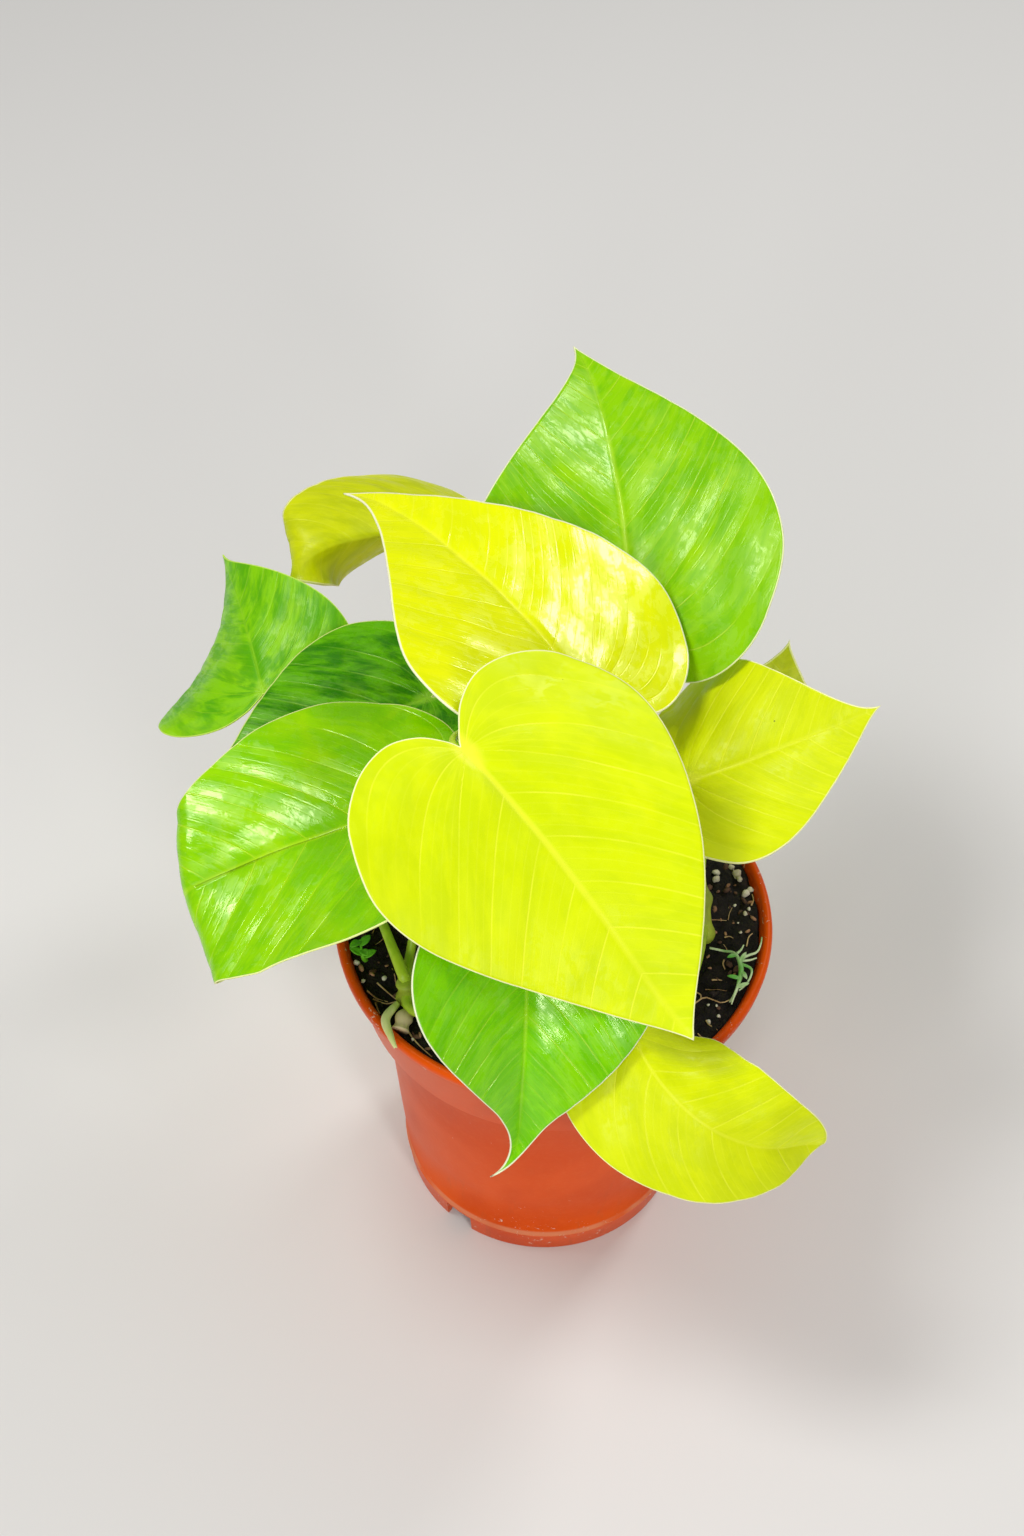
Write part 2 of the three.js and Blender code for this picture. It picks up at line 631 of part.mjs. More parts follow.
// The origin is the middle of the space that the whole plant takes up, at the height
// of the surface that the pot stands on
const bounds = new THREE.Box3().setFromObject(plant);
const middle = bounds.getCenter(new THREE.Vector3());
plant.position.set(-middle.x, -middle.y, -bounds.min.z);
plant.updateMatrixWorld(true);

const object = new THREE.Group();
object.add(plant);

export default object;
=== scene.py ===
# %% [markdown]
# # A potted heartleaf philodendron with lemon lime leaves
#
# A young trailing plant grows in a small terracotta-coloured plastic nursery pot.
# Eleven heart-shaped leaves, each a thin blade on its own leaf stalk, spring from three
# short stems. A real leaf is a curved sheet a third of a millimetre thick, so every
# blade here is one bent sheet given a thickness, and not a painted plane. The rough
# solids that carry the shape already exist, so this lesson loads them as a fixed frame
# and puts a finer piece in the place of each.

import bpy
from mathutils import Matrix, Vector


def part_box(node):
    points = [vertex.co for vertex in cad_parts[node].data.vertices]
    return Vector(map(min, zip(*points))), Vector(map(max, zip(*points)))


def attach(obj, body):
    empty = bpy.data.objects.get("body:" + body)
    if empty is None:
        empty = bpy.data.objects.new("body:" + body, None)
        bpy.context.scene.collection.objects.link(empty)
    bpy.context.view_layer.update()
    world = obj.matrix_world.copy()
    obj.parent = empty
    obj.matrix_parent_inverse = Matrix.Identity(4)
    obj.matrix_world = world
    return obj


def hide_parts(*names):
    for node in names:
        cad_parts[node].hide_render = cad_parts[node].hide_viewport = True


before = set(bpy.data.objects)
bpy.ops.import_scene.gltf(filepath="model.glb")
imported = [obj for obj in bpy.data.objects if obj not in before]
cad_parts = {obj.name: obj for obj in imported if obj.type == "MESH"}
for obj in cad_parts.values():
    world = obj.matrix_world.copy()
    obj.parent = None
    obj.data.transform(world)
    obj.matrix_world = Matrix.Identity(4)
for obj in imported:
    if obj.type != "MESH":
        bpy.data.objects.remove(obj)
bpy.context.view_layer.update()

# %% Tools used all the way through
import math
import random

import bmesh
import bpy
import numpy as np
from mathutils import Matrix, Vector, noise

MM = 0.001
pot_low, pot_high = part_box("pot")
pot_axis = Vector(((pot_low.x + pot_high.x) / 2, (pot_low.y + pot_high.y) / 2, 0))
FROM_AXIS = Matrix.Translation(pot_axis) @ Matrix.Scale(MM, 4)
print("the pot's axis stands at", tuple(pot_axis))


def in_frame(points):
    """Points in millimetres from the pot's axis, as metres in the frame."""
    return np.asarray(points, float) * MM + np.array(pot_axis)


def added(name, data):
    """A new object in the scene that holds this camera, lamp or mesh."""
    thing = bpy.data.objects.new(name, data)
    bpy.context.scene.collection.objects.link(thing)
    return thing


# %% [markdown]
# ## Camera and studio
#
# The plant is seen from above, about fifty degrees over the horizon, with a short
# telephoto lens. The camera is placed by that angle and its distance from a point
# above the pot, because those are the values that a photographer would change. The
# floor is one pale plane. The waxy leaves show every lamp as a white patch, so the
# lamps stand where the patches on the leaves say they stood: one high on the left, one
# behind on the right, and two low ones beside the camera.

# %% Camera
camera_data = bpy.data.cameras.new("camera")
camera_data.lens = 55.0
camera_data.sensor_width = 36.0
camera = added("camera", camera_data)
bpy.context.scene.camera = camera

CAMERA_RISE = math.radians(49.62)
CAMERA_ROLL = math.radians(1.78)
CAMERA_DISTANCE = 596.68
CAMERA_AIM = (-12.72, 0.0, 172.68)

ahead = Vector((0, math.cos(CAMERA_RISE), -math.sin(CAMERA_RISE)))
level = Vector((1, 0, 0))
above = level.cross(ahead)
right = level * math.cos(CAMERA_ROLL) + above * math.sin(CAMERA_ROLL)
up = above * math.cos(CAMERA_ROLL) - level * math.sin(CAMERA_ROLL)
turn = Matrix((right, up, -ahead)).transposed().to_4x4()
eye = Vector(in_frame(CAMERA_AIM)) - ahead * CAMERA_DISTANCE * MM
camera.matrix_world = Matrix.Translation(eye) @ turn
print("camera stands at", tuple(round(v, 4) for v in eye))

# %% Floor
def fixed(node, values):
    """Sets sockets of a node that keep one value all over the surface."""
    for key, value in values.items():
        node.inputs[key].default_value = value


bm = bmesh.new()
bmesh.ops.create_grid(bm, x_segments=1, y_segments=1, size=4)
floor_mesh = bpy.data.meshes.new("floor")
bm.to_mesh(floor_mesh)
bm.free()
floor = added("floor", floor_mesh)
floor_paint = bpy.data.materials.new("floor_paint")
floor_paint.use_nodes = True
floor_shader = floor_paint.node_tree.nodes["Principled BSDF"]
fixed(floor_shader, {"Base Color": (0.72, 0.71, 0.69, 1), "Roughness": 0.7})
floor_mesh.materials.append(floor_paint)


# %% Lamps
LAMP_TARGET = Vector(in_frame((0, 0, 130)))
LAMP_DISTANCE = 1.1
ROOM_LIGHT, ROOM_MIRRORED = 0.38, 0.1


def studio_lamp(name, azimuth, rise, size, power):
    """A soft oblong lamp. azimuth is counted from +Y towards +X, in degrees."""
    a, e = math.radians(azimuth), math.radians(rise)
    way = Vector((math.sin(a) * math.cos(e), math.cos(a) * math.cos(e), math.sin(e)))
    data = bpy.data.lights.new(name, "AREA")
    data.shape = "RECTANGLE"
    data.size, data.size_y = size
    data.energy = power
    aim = way.to_track_quat("Z", "Y").to_matrix().to_4x4()
    place = Matrix.Translation(LAMP_TARGET + way * LAMP_DISTANCE)
    added(name, data).matrix_world = place @ aim


studio_lamp("lamp_left", -85, 60, (0.3, 0.38), 5.4)
studio_lamp("lamp_back", 38, 41, (0.26, 0.22), 3.2)
studio_lamp("lamp_front_right", 154, 28, (0.16, 0.4), 3)
studio_lamp("lamp_front_left", -156, 26, (0.16, 0.4), 3)

room = bpy.data.worlds.new("room")
room.use_nodes = True
glow = room.node_tree.nodes["Background"]
fixed(glow, {"Color": (1, 0.99, 0.97, 1)})
# The wax mirrors a darker room than the one that lights it, so its colours stay deep
ray = room.node_tree.nodes.new("ShaderNodeLightPath")
mirrored = room.node_tree.nodes.new("ShaderNodeMapRange")
fixed(mirrored, {"To Min": ROOM_LIGHT, "To Max": ROOM_MIRRORED})
room.node_tree.links.new(ray.outputs["Is Glossy Ray"], mirrored.inputs["Value"])
room.node_tree.links.new(mirrored.outputs[0], glow.inputs["Strength"])
bpy.context.scene.world = room
bpy.context.scene.view_settings.view_transform = "Standard"

# %% [markdown]
# ## Helpers for meshes
#
# Leaves and stems are both a rectangle of small squares put somewhere by a rule: a
# stem rolls the rectangle into a tube, and a leaf wraps it round the middle of the
# blade in rings. So one helper starts from Blender's grid operator, moves its corners
# by the rule, and merges the seams where the rule brings corners together.


# %% A bent grid
def bent_grid(name, columns, rows, rule, attributes=None, cap=False):
    """Object from a grid. rule turns arrays of 0..1 and 0..1 into points in metres.

    attributes gives a name and an array of triples for each corner of the grid.
    """
    bm = bmesh.new()
    bmesh.ops.create_grid(bm, x_segments=columns, y_segments=rows, size=0.5)
    corners = np.array([v.co for v in bm.verts])[:, :2] + 0.5
    places = rule(*corners.T)
    attributes = attributes or {}
    layers = {key: bm.verts.layers.float_vector.new(key) for key in attributes}
    values = {key: at(*corners.T) for key, at in attributes.items()}
    for i, v in enumerate(bm.verts):
        v.co = places[i]
        for key, layer in layers.items():
            v[layer] = values[key][i]
    bmesh.ops.remove_doubles(bm, verts=bm.verts, dist=2e-6)
    if cap:
        bmesh.ops.holes_fill(bm, edges=[e for e in bm.edges if e.is_boundary], sides=0)
    bmesh.ops.recalc_face_normals(bm, faces=bm.faces)
    return finished(name, bm)


def finished(name, bm):
    """The object that holds this shape, shaded smooth."""
    for face in bm.faces:
        face.smooth = True
    mesh = bpy.data.meshes.new(name)
    bm.to_mesh(mesh)
    bm.free()
    return added(name, mesh)


def place_piece(piece, material, slot, *nodes):
    """Paints a finished piece and sets it in the place of its solids."""
    piece.data.materials.append(material)
    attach(piece, "root")
    if nodes:
        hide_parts(*nodes)
    print(piece.name, len(piece.data.polygons), "faces")


def thicken(piece, thickness):
    """Gives a sheet its thickness in millimetres, half to each side."""
    thick = piece.modifiers.new("thickness", "SOLIDIFY")
    thick.thickness = thickness * MM
    thick.offset = 0


# %% Curves through points
def smooth_curve(points, count):
    """Points evenly spread on a centripetal curve through the given points."""
    p = [Vector(q) for q in points]
    p = [p[0] * 2 - p[1]] + p + [p[-1] * 2 - p[-2]]
    out = []
    for i in range(1, len(p) - 2):
        a, b, c, d = p[i - 1 : i + 3]
        pairs = ((b, a), (c, b), (d, c))
        t0, t1, t2 = [max((q - r).length ** 0.5, 1e-4) for q, r in pairs]
        start = ((b - a) / t0 - (c - a) / (t0 + t1) + (c - b) / t1) * t1
        end = ((c - b) / t1 - (d - b) / (t1 + t2) + (d - c) / t2) * t1
        for k in range(24):
            t = k / 24
            out.append(
                b * (2 * t**3 - 3 * t**2 + 1)
                + start * (t**3 - 2 * t**2 + t)
                + c * (3 * t**2 - 2 * t**3)
                + end * (t**3 - t**2)
            )
    out.append(p[-2])
    line = np.array(out)
    far = np.concatenate([[0], np.cumsum(np.linalg.norm(np.diff(line, axis=0), axis=1))])
    wanted = np.linspace(0, far[-1], count)
    return np.stack([np.interp(wanted, far, line[:, k]) for k in range(3)], 1)


def tube(name, line, radius_at, sides):
    """A closed tapering stem round a line of points in millimetres."""
    line = np.asarray(line, float)
    count = len(line)
    forward = np.gradient(line, axis=0)
    forward /= np.linalg.norm(forward, axis=1)[:, None]
    across = np.zeros_like(line)
    side = np.cross(forward[0], [0.13, 0.21, 1.0])
    for i in range(count):
        side = side - forward[i] * (side @ forward[i])
        side /= np.linalg.norm(side)
        across[i] = side
    depth = np.cross(forward, across)

    def rule(u, v):
        step = np.rint(v * (count - 1)).astype(int)
        share = step / (count - 1)
        radius = np.array([radius_at(s) for s in share])
        a = 2 * math.pi * u
        spread = across[step] * (np.cos(a) * radius)[:, None]
        spread += depth[step] * (np.sin(a) * radius)[:, None]
        return in_frame(line[step] + spread)

    return bent_grid(name, sides, count - 1, rule, cap=True)

# %% [markdown]
# ## Leaf finishes
#
# A leaf's pattern follows its own veins, wherever the leaf turns. So each blade
# carries two small maps of itself at its corners. The first says how far along the
# midrib and how far out to the side a place lies, and how many millimetres it is from
# the margin. The second says which vein a place belongs to, how wide that count runs
# in millimetres, and how far out along the vein it is. One shader group reads both
# maps and gives back the colour, the gloss and the relief, so that all eleven leaves
# share it, each with its own greens and yellows.


# %% Colours and node helpers
def colour(*channels):
    """A colour as the eye reads it on a screen, 0 to 255, as the renderer wants it."""
    shares = [c / 255 for c in channels]
    return (*[c / 12.92 if c <= 0.04045 else ((c + 0.055) / 1.055) ** 2.4 for c in shares], 1)


class Nodes:
    """Short names for the shader nodes that the finishes are built from."""

    def __init__(self, tree):
        self.tree = tree

    def new(self, kind, **settings):
        node = self.tree.nodes.new("ShaderNode" + kind)
        for key, value in settings.items():
            setattr(node, key, value)
        return node

    def feed(self, socket, value):
        """Links a socket to a changing value, or sets it to a fixed one."""
        if isinstance(value, bpy.types.NodeSocket):
            self.tree.links.new(value, socket)
        else:
            socket.default_value = value

    def made(self, kind, *values, **settings):
        """The first output of a new node whose sockets are fed in their order."""
        node = self.new(kind, **settings)
        for socket, value in zip(node.inputs, values):
            self.feed(socket, value)
        return node.outputs[0]

    def math(self, operation, *values):
        return self.made("Math", *values, operation=operation)

    def times(self, a, b):
        return self.math("MULTIPLY", a, b)

    def plus(self, total, *more):
        for value in more:
            total = self.math("ADD", total, value)
        return total

    def ramp(self, value, low, high, to_low=0.0, to_high=1.0):
        """A soft step from to_low, where the value is low, to to_high."""
        numbers = (value, low, high, to_low, to_high)
        return self.made("MapRange", *numbers, interpolation_type="SMOOTHSTEP")

    def mix(self, share, a, b):
        node = self.new("Mix", data_type="RGBA")
        for place, value in ((0, share), (6, a), (7, b)):
            self.feed(node.inputs[place], value)
        return node.outputs[2]

    def noise(self, place, scale, detail=3.0, rough=0.5, warp=0.0):
        node = self.new("TexNoise")
        self.feed(node.inputs["Vector"], place)
        fixed(node, {"Scale": scale, "Detail": detail, "Roughness": rough, "Distortion": warp})
        return node.outputs["Fac"]

    def here(self):
        """The place on the piece, which keeps a pattern still on it."""
        return self.new("TexCoord").outputs["Object"]

    def split(self, vector):
        node = self.new("SeparateXYZ")
        self.feed(node.inputs[0], vector)
        return node.outputs

    def dress(self, skin, rough, height, depth, constants):
        """Feeds the material's shader, and bumps it by a height of depth metres."""
        shader = self.tree.nodes["Principled BSDF"]
        bump = self.new("Bump")
        for node, key, value in (
            (shader, "Base Color", skin), (shader, "Roughness", rough), (bump, "Height", height),
            (bump, "Distance", depth), (shader, "Normal", bump.outputs["Normal"]),
        ):
            self.feed(node.inputs[key], value)
        fixed(shader, constants)


def new_finish(name):
    """A new material, and the short names for its nodes."""
    material = bpy.data.materials.new(name)
    material.use_nodes = True
    return material, Nodes(material.node_tree)


# %% The leaf pattern
MAIN_VEINS, FINE_VEINS = 6.5, 26.0
# The last leaf colour is a painted highlight along the margin
LEAF_COLOURS = ("Blade", "Deep", "Pale", "Vein", "Margin highlight")
LEAF_NUMBERS = ("Gloss", "Vein strength", "Mottle", "Seed", "Rim width")


def leaf_pattern_group():
    group = bpy.data.node_groups.new("leaf_pattern", "ShaderNodeTree")
    for way, kind, names in (
        ("INPUT", "Color", LEAF_COLOURS), ("INPUT", "Float", LEAF_NUMBERS),
        ("OUTPUT", "Color", ("Colour",)), ("OUTPUT", "Float", ("Roughness", "Height")),
    ):
        for name in names:
            group.interface.new_socket(name, in_out=way, socket_type="NodeSocket" + kind)
    n = Nodes(group)
    given = group.nodes.new("NodeGroupInput").outputs
    seed = given["Seed"]
    plan = n.new("Attribute", attribute_name="leaf_plan").outputs["Vector"]
    veins = n.new("Attribute", attribute_name="leaf_veins").outputs["Vector"]
    along, out, margin = n.split(plan)
    which, span, reach = n.split(veins)
    shift = n.made("CombineXYZ", seed, seed)
    where = n.made("VectorMath", n.here(), shift, operation="ADD")

    # A thread along each evenly counted vein, its edges at low and high millimetres
    def line(count, low, high):
        step = n.math("FRACT", n.plus(n.times(which, count), 0.5))
        off = n.math("ABSOLUTE", n.math("SUBTRACT", step, 0.5))
        return n.ramp(n.times(n.math("DIVIDE", off, count), span), low, high, 1, 0)

    patchy = n.ramp(n.noise(where, 70.0, 2.0), 0.4, 0.6, 0.45, 1)
    main = n.times(line(MAIN_VEINS, 0.06, 0.34), patchy)
    main = n.times(main, n.ramp(reach, 0.55, 1.0, 1, 0.15))
    fine = n.times(line(FINE_VEINS, 0.04, 0.25), n.ramp(reach, 0.5, 0.95, 0.2, 0.06))
    midrib = n.ramp(n.math("ABSOLUTE", out), 0.006, 0.03, 1, 0)
    midrib = n.times(midrib, n.ramp(along, 0.2, 0.95, 1, 0.35))
    pattern = n.math("MAXIMUM", n.math("MAXIMUM", main, fine), midrib)

    # Streaks that run with the veins, and clouds that don't
    streak_place = n.made("CombineXYZ", n.times(which, 7.0), n.times(reach, 2.4), seed)
    streak = n.noise(streak_place, 1.6, 4.0, 0.6, 0.4)
    cloud = n.noise(where, 55.0, 3.0, 0.55, 0.6)
    deep = n.times(n.ramp(streak, 0.38, 0.62), given["Mottle"])
    pale = n.times(n.ramp(cloud, 0.5, 0.75, 0, 0.6), given["Mottle"])
    shade = n.mix(deep, given["Blade"], given["Deep"])
    shade = n.mix(pale, shade, given["Pale"])
    shade = n.mix(n.times(pattern, given["Vein strength"]), shade, given["Vein"])

    # Pale heart of the leaf, where all veins meet over the stalk
    squares = [n.math("POWER", n.math("ABSOLUTE", far), 2.0) for far in (along, out)]
    heart = n.times(n.ramp(n.plus(*squares), 0.0, 0.007, 1, 0), 0.8)
    shade = n.mix(heart, shade, given["Vein"])

    # A few tiny dark specks
    cells = n.new("TexVoronoi")
    n.feed(cells.inputs["Vector"], where)
    fixed(cells, {"Scale": 120.0})
    chosen = n.ramp(n.made("SeparateColor", cells.outputs["Color"]), 0.955, 0.96)
    speck = n.times(n.ramp(cells.outputs["Distance"], 0.02, 0.035, 1, 0), chosen)
    shade = n.mix(n.times(speck, 0.75), shade, (0.03, 0.06, 0.0, 1))

    # The margin is a thread of thicker tissue, and its pale colour is a painted highlight along
    # the edge
    margin_highlight = n.ramp(n.math("DIVIDE", margin, given["Rim width"]), 0.6, 1.3, 1, 0)
    shade = n.mix(margin_highlight, shade, given["Margin highlight"])

    # Wax: flames of dull bloom that run with the veins, so that a highlight breaks up
    flame_place = n.made("CombineXYZ", n.times(which, 42.0), n.times(reach, 9.0), seed)
    flame = n.noise(flame_place, 1.0, 4.0, 0.62, 0.5)
    wax = n.noise(where, 150.0, 5.0, 0.66, 1.0)
    bloom = n.ramp(n.plus(wax, n.times(flame, 0.6)), 0.76, 0.88)
    rough = n.plus(given["Gloss"], n.times(bloom, 0.22), n.times(margin_highlight, 0.1))

    grain = n.noise(where, 2300.0, 2.0, 0.6)
    lumps = n.noise(where, 130.0, 3.0, 0.55, 0.5)
    height = n.plus(n.times(pattern, -0.35), n.times(grain, 0.03), n.times(flame, 0.25),
                    n.times(lumps, 0.5), n.times(margin_highlight, 0.5))
    result = group.nodes.new("NodeGroupOutput")
    for socket, value in zip(result.inputs, (shade, rough, height)):
        n.feed(socket, value)
    return group


LEAF_PATTERN = leaf_pattern_group()
print("leaf pattern has", len(LEAF_PATTERN.nodes), "nodes")


# %% One finish per leaf
def leaf_finish(name, colours, numbers, relief, shine):
    """colours and numbers follow LEAF_COLOURS and LEAF_NUMBERS. relief is in metres."""
    material, n = new_finish(name)
    pattern = n.new("Group", node_tree=LEAF_PATTERN)
    fixed(pattern, dict(zip(LEAF_COLOURS, [colour(*c) for c in colours])))
    fixed(pattern, dict(zip(LEAF_NUMBERS, numbers)))
    n.dress(*pattern.outputs, relief,
            {"IOR": 1.47, "Specular IOR Level": shine, "Specular Tint": (1, 1, 0.7, 1)})
    return material


# %% [markdown]
# ## The heart-shaped blade
#
# A heartleaf blade is flat when it opens and then bends: it folds along the midrib,
# its halves curl, the midrib droops towards the tip, and the tip twists. Modelled as
# eleven sculpted shapes, those bends would be guesswork. Here one flat heart outline
# is bent by a handful of angles, which is how the real leaf gets its shape, so each
# leaf is a short list of numbers.

# %% The flat heart
HEART = [
    (-0.02, 0), (-0.055, 0.05), (-0.115, 0.18), (-0.15, 0.38), (-0.125, 0.63),
    (-0.04, 0.86), (0.1, 0.985), (0.22, 0.99), (0.36, 0.9), (0.52, 0.71),
    (0.67, 0.49), (0.81, 0.27), (0.91, 0.11), (0.965, 0.035), (1, 0),
]


def heart_half(t):
    """Points of the half outline, notch to tip, for t from 0 to 1."""
    p = np.array(HEART, float)
    p = np.vstack([p[0], p, p[-1]])
    at = np.clip(t, 0, 1) * (len(HEART) - 1)
    i = np.minimum(at.astype(int), len(HEART) - 2)
    s = (at - i)[:, None]
    a, b, c, d = p[i], p[i + 1], p[i + 2], p[i + 3]
    start, end = (c - a) / 2, (d - b) / 2
    point = (2 * b - 2 * c + start + end) * s**3
    point += (-3 * b + 3 * c - 2 * start - end) * s**2
    return point + start * s + b


def side_of(leaf, key, left):
    """The leaf's value for the left or the right half, place by place."""
    return np.where(left, *leaf[key])


def flat_outline(leaf, u):
    """Margin of the flat leaf in millimetres. u runs tip, left half, notch, right half."""
    left = u < 0.5
    t = np.where(left, 1 - 2 * u, 2 * u - 1)
    p = heart_half(t)
    blend = np.clip((p[:, 0] - 0.16) / 0.4, 0, 1)
    power = 1 + (side_of(leaf, "full", left) - 1) * blend
    y = np.maximum(p[:, 1], 0) ** power * side_of(leaf, "width", left)
    drip = leaf.get("drip", 0) * np.maximum((p[:, 0] - 0.75) / 0.25, 0) ** 2
    x = leaf["length"] * (p[:, 0] * np.where(p[:, 0] < 0, leaf["lobe"], 1) + drip)
    return x, np.where(left, y, -y)


# %% Bending the blade
MIDRIB_STEPS = 24
TUCK_RADIUS = 4.0
TUCK_TURN = math.radians(130)


def bent_blade(leaf, x, y):
    """Places of the bent leaf, in its own frame, for places on the flat one."""
    side = (y < 0).astype(int)
    out = np.abs(y)
    reach = np.clip(x / leaf["length"], -0.4, 1.4)
    start = np.array(leaf["fold"], float)[side]
    end = np.array(leaf.get("fold_end", leaf["fold"]), float)[side]
    fold = np.radians(start + (end - start) * np.clip(reach, 0, 1))
    curl = np.array([c if c else -0.01 for c in leaf["curl"]], float)
    turn = (np.radians(curl) / np.array(leaf["width"], float))[side]
    droop, hook, bend, twist = np.radians(leaf["sweep"])
    tip_bend = math.radians(leaf.get("tip_bend", 0))
    across = (np.sin(fold + turn * out) - np.sin(fold)) / turn
    rise = -(np.cos(fold + turn * out) - np.cos(fold)) / turn

    def direction(q):
        end = np.maximum((q - 0.6) / 0.4, 0)
        tip = np.maximum((q - 0.8) / 0.2, 0)
        slope = droop * q + hook * end**2
        heading = bend * np.maximum(q, 0) + tip_bend * tip**2
        c = np.cos(slope)
        way = np.stack([c * np.cos(heading), c * np.sin(heading), np.sin(slope)], -1)
        return way, heading

    midrib = np.zeros((len(x), 3))
    for i in range(MIDRIB_STEPS):
        step = reach * leaf["length"] / MIDRIB_STEPS
        midrib += direction(reach * (i + 0.5) / MIDRIB_STEPS)[0] * step[:, None]
    way, heading = direction(reach)
    left = np.stack([-np.sin(heading), np.cos(heading), 0 * heading], -1)
    turned = (twist * np.maximum(reach, 0))[:, None]
    left = left * np.cos(turned) + np.cross(way, left) * np.sin(turned)
    across = np.where(side == 0, across, -across)
    return midrib + left * across[:, None] + np.cross(way, left) * rise[:, None]


def unit(v):
    return v / np.linalg.norm(v, axis=-1, keepdims=True)


def blade_point(leaf, x, y):
    """As bent_blade, with the end of the leaf rolled under past its tuck."""
    if "tuck" not in leaf:
        return bent_blade(leaf, x, y)
    tuck = leaf["tuck"] + leaf["lean"] * np.minimum(y, 0)
    line = np.minimum(x, tuck)
    start = bent_blade(leaf, line, y)
    way = unit(bent_blade(leaf, line + 0.05, y) - start)
    left = unit(bent_blade(leaf, line, y + 0.05) - start)
    up = unit(np.cross(way, left))
    past = np.maximum(x - tuck, 0)
    turn = np.minimum(past / TUCK_RADIUS, TUCK_TURN)
    rest = np.maximum(past - TUCK_RADIUS * TUCK_TURN, 0)
    forward = TUCK_RADIUS * np.sin(turn) + rest * math.cos(TUCK_TURN)
    down = TUCK_RADIUS * (1 - np.cos(turn)) + rest * math.sin(TUCK_TURN)
    return start + way * forward[:, None] - up * down[:, None]


def in_plant(leaf, points):
    """Turns a leaf's own places into places in the plant, in millimetres."""
    yaw, pitch, roll = np.radians(leaf["aim"])
    level = math.cos(pitch)
    way = np.array([level * math.cos(yaw), level * math.sin(yaw), math.sin(pitch)])
    flat = np.array([-math.sin(yaw), math.cos(yaw), 0])
    left = flat * math.cos(roll) + np.cross(way, flat) * math.sin(roll)
    up = np.cross(way, left)
    forward, sideways, high = points.T[:, :, None]
    return forward * way + sideways * left + high * up + np.array(leaf["notch"])


# %% [markdown]
# The side veins of a heartleaf spring from the notch and the lower midrib at a sharp
# angle, and sweep forward to the margin. That is written as a count that grows from
# the lobes to the tip: every vein is the line where the count has one value. Dividing
# the count by how fast it changes gives a distance in millimetres, so that a vein
# keeps its width even where the veins crowd together over the stalk.


# %% Vein count and margin distance
def vein_count(leaf, x, y):
    width = side_of(leaf, "width", y >= 0)
    out = np.abs(y)
    start = x - 0.68 * out - 0.55 * out**2 / width
    fan = np.maximum(-start, 0) / np.maximum(out - 0.5 * out**2 / width, 0.05)
    back = -0.42 * width / leaf["length"] * fan / (1 + 0.12 * fan)
    return np.where(start > 0, start / leaf["length"], back)


def vein_map(leaf, x, y):
    """Which vein, how many millimetres wide its count runs, and how far out it is."""
    step = 0.15
    count = vein_count(leaf, x, y)
    side = np.where(y >= 0, step, -step)
    dx = (vein_count(leaf, x + step, y) - count) / step
    dy = (vein_count(leaf, x, y + side) - count) / step
    slope = np.maximum(np.hypot(dx, dy), 1e-4)
    return np.stack([count, 1 / slope, np.abs(y) / side_of(leaf, "width", y >= 0)], 1)


def margin_distance(leaf, x, y):
    u = np.linspace(0, 1, 240, endpoint=False)
    mx, my = flat_outline(leaf, u)
    nearest = np.full(len(x), 1e9)
    for i in range(len(u)):
        ax, ay = mx[i - 1], my[i - 1]
        bx, by = mx[i] - ax, my[i] - ay
        s = np.clip(((x - ax) * bx + (y - ay) * by) / max(bx * bx + by * by, 1e-9), 0, 1)
        nearest = np.minimum(nearest, np.hypot(x - ax - s * bx, y - ay - s * by))
    return nearest


# %% One blade
AROUND, RINGS = 176, 44
BLADE_THICKNESS = 0.55
QUILT_HEIGHT, GUTTER_DEPTH, WAVE_HEIGHT = 0.3, 0.45, 0.35
SWELL_HEIGHTS = (0.14, 0.11)


def flat_place(leaf, u, ring):
    """Where a corner of the grid lies on the flat leaf."""
    x, y = flat_outline(leaf, u % 1.0)
    centre = 0.06 * leaf["length"]
    share = ring**0.85
    return centre + (x - centre) * share, y * share


def blade_up(leaf, x, y, near=0.3):
    """The way that the upper face looks, from places a little near on each side."""
    way = blade_point(leaf, x + near, y) - blade_point(leaf, x - near, y)
    left = blade_point(leaf, x, y + near) - blade_point(leaf, x, y - near)
    return unit(np.cross(way, left))


def blade_surface(leaf, x, y):
    """The bent blade with its low relief: quilting between the veins, a wavy margin."""
    out = np.abs(y) / side_of(leaf, "width", y >= 0)
    pillow = np.abs(np.sin(vein_count(leaf, x, y) * MAIN_VEINS * math.pi)) ** 0.8 - 0.5
    quilt = pillow * QUILT_HEIGHT * np.clip(out * 3, 0, 1) * np.clip((1 - out) * 5, 0, 1)
    phase = math.radians(leaf["aim"][0])
    swell = SWELL_HEIGHTS[0] * np.sin(x * 0.29 + y * 0.15 + phase)
    swell += SWELL_HEIGHTS[1] * np.sin(y * 0.36 - x * 0.12 + 2 * phase)
    gutter = np.exp(-((y / 1.6) ** 2)) * np.clip(1.1 - x / leaf["length"], 0, 1)
    wave = np.sin(x * 0.21 + leaf["aim"][0]) * np.clip(out - 0.55, 0, 1)
    height = quilt + swell - GUTTER_DEPTH * gutter + WAVE_HEIGHT * wave
    return blade_point(leaf, x, y) + blade_up(leaf, x, y) * height[:, None]


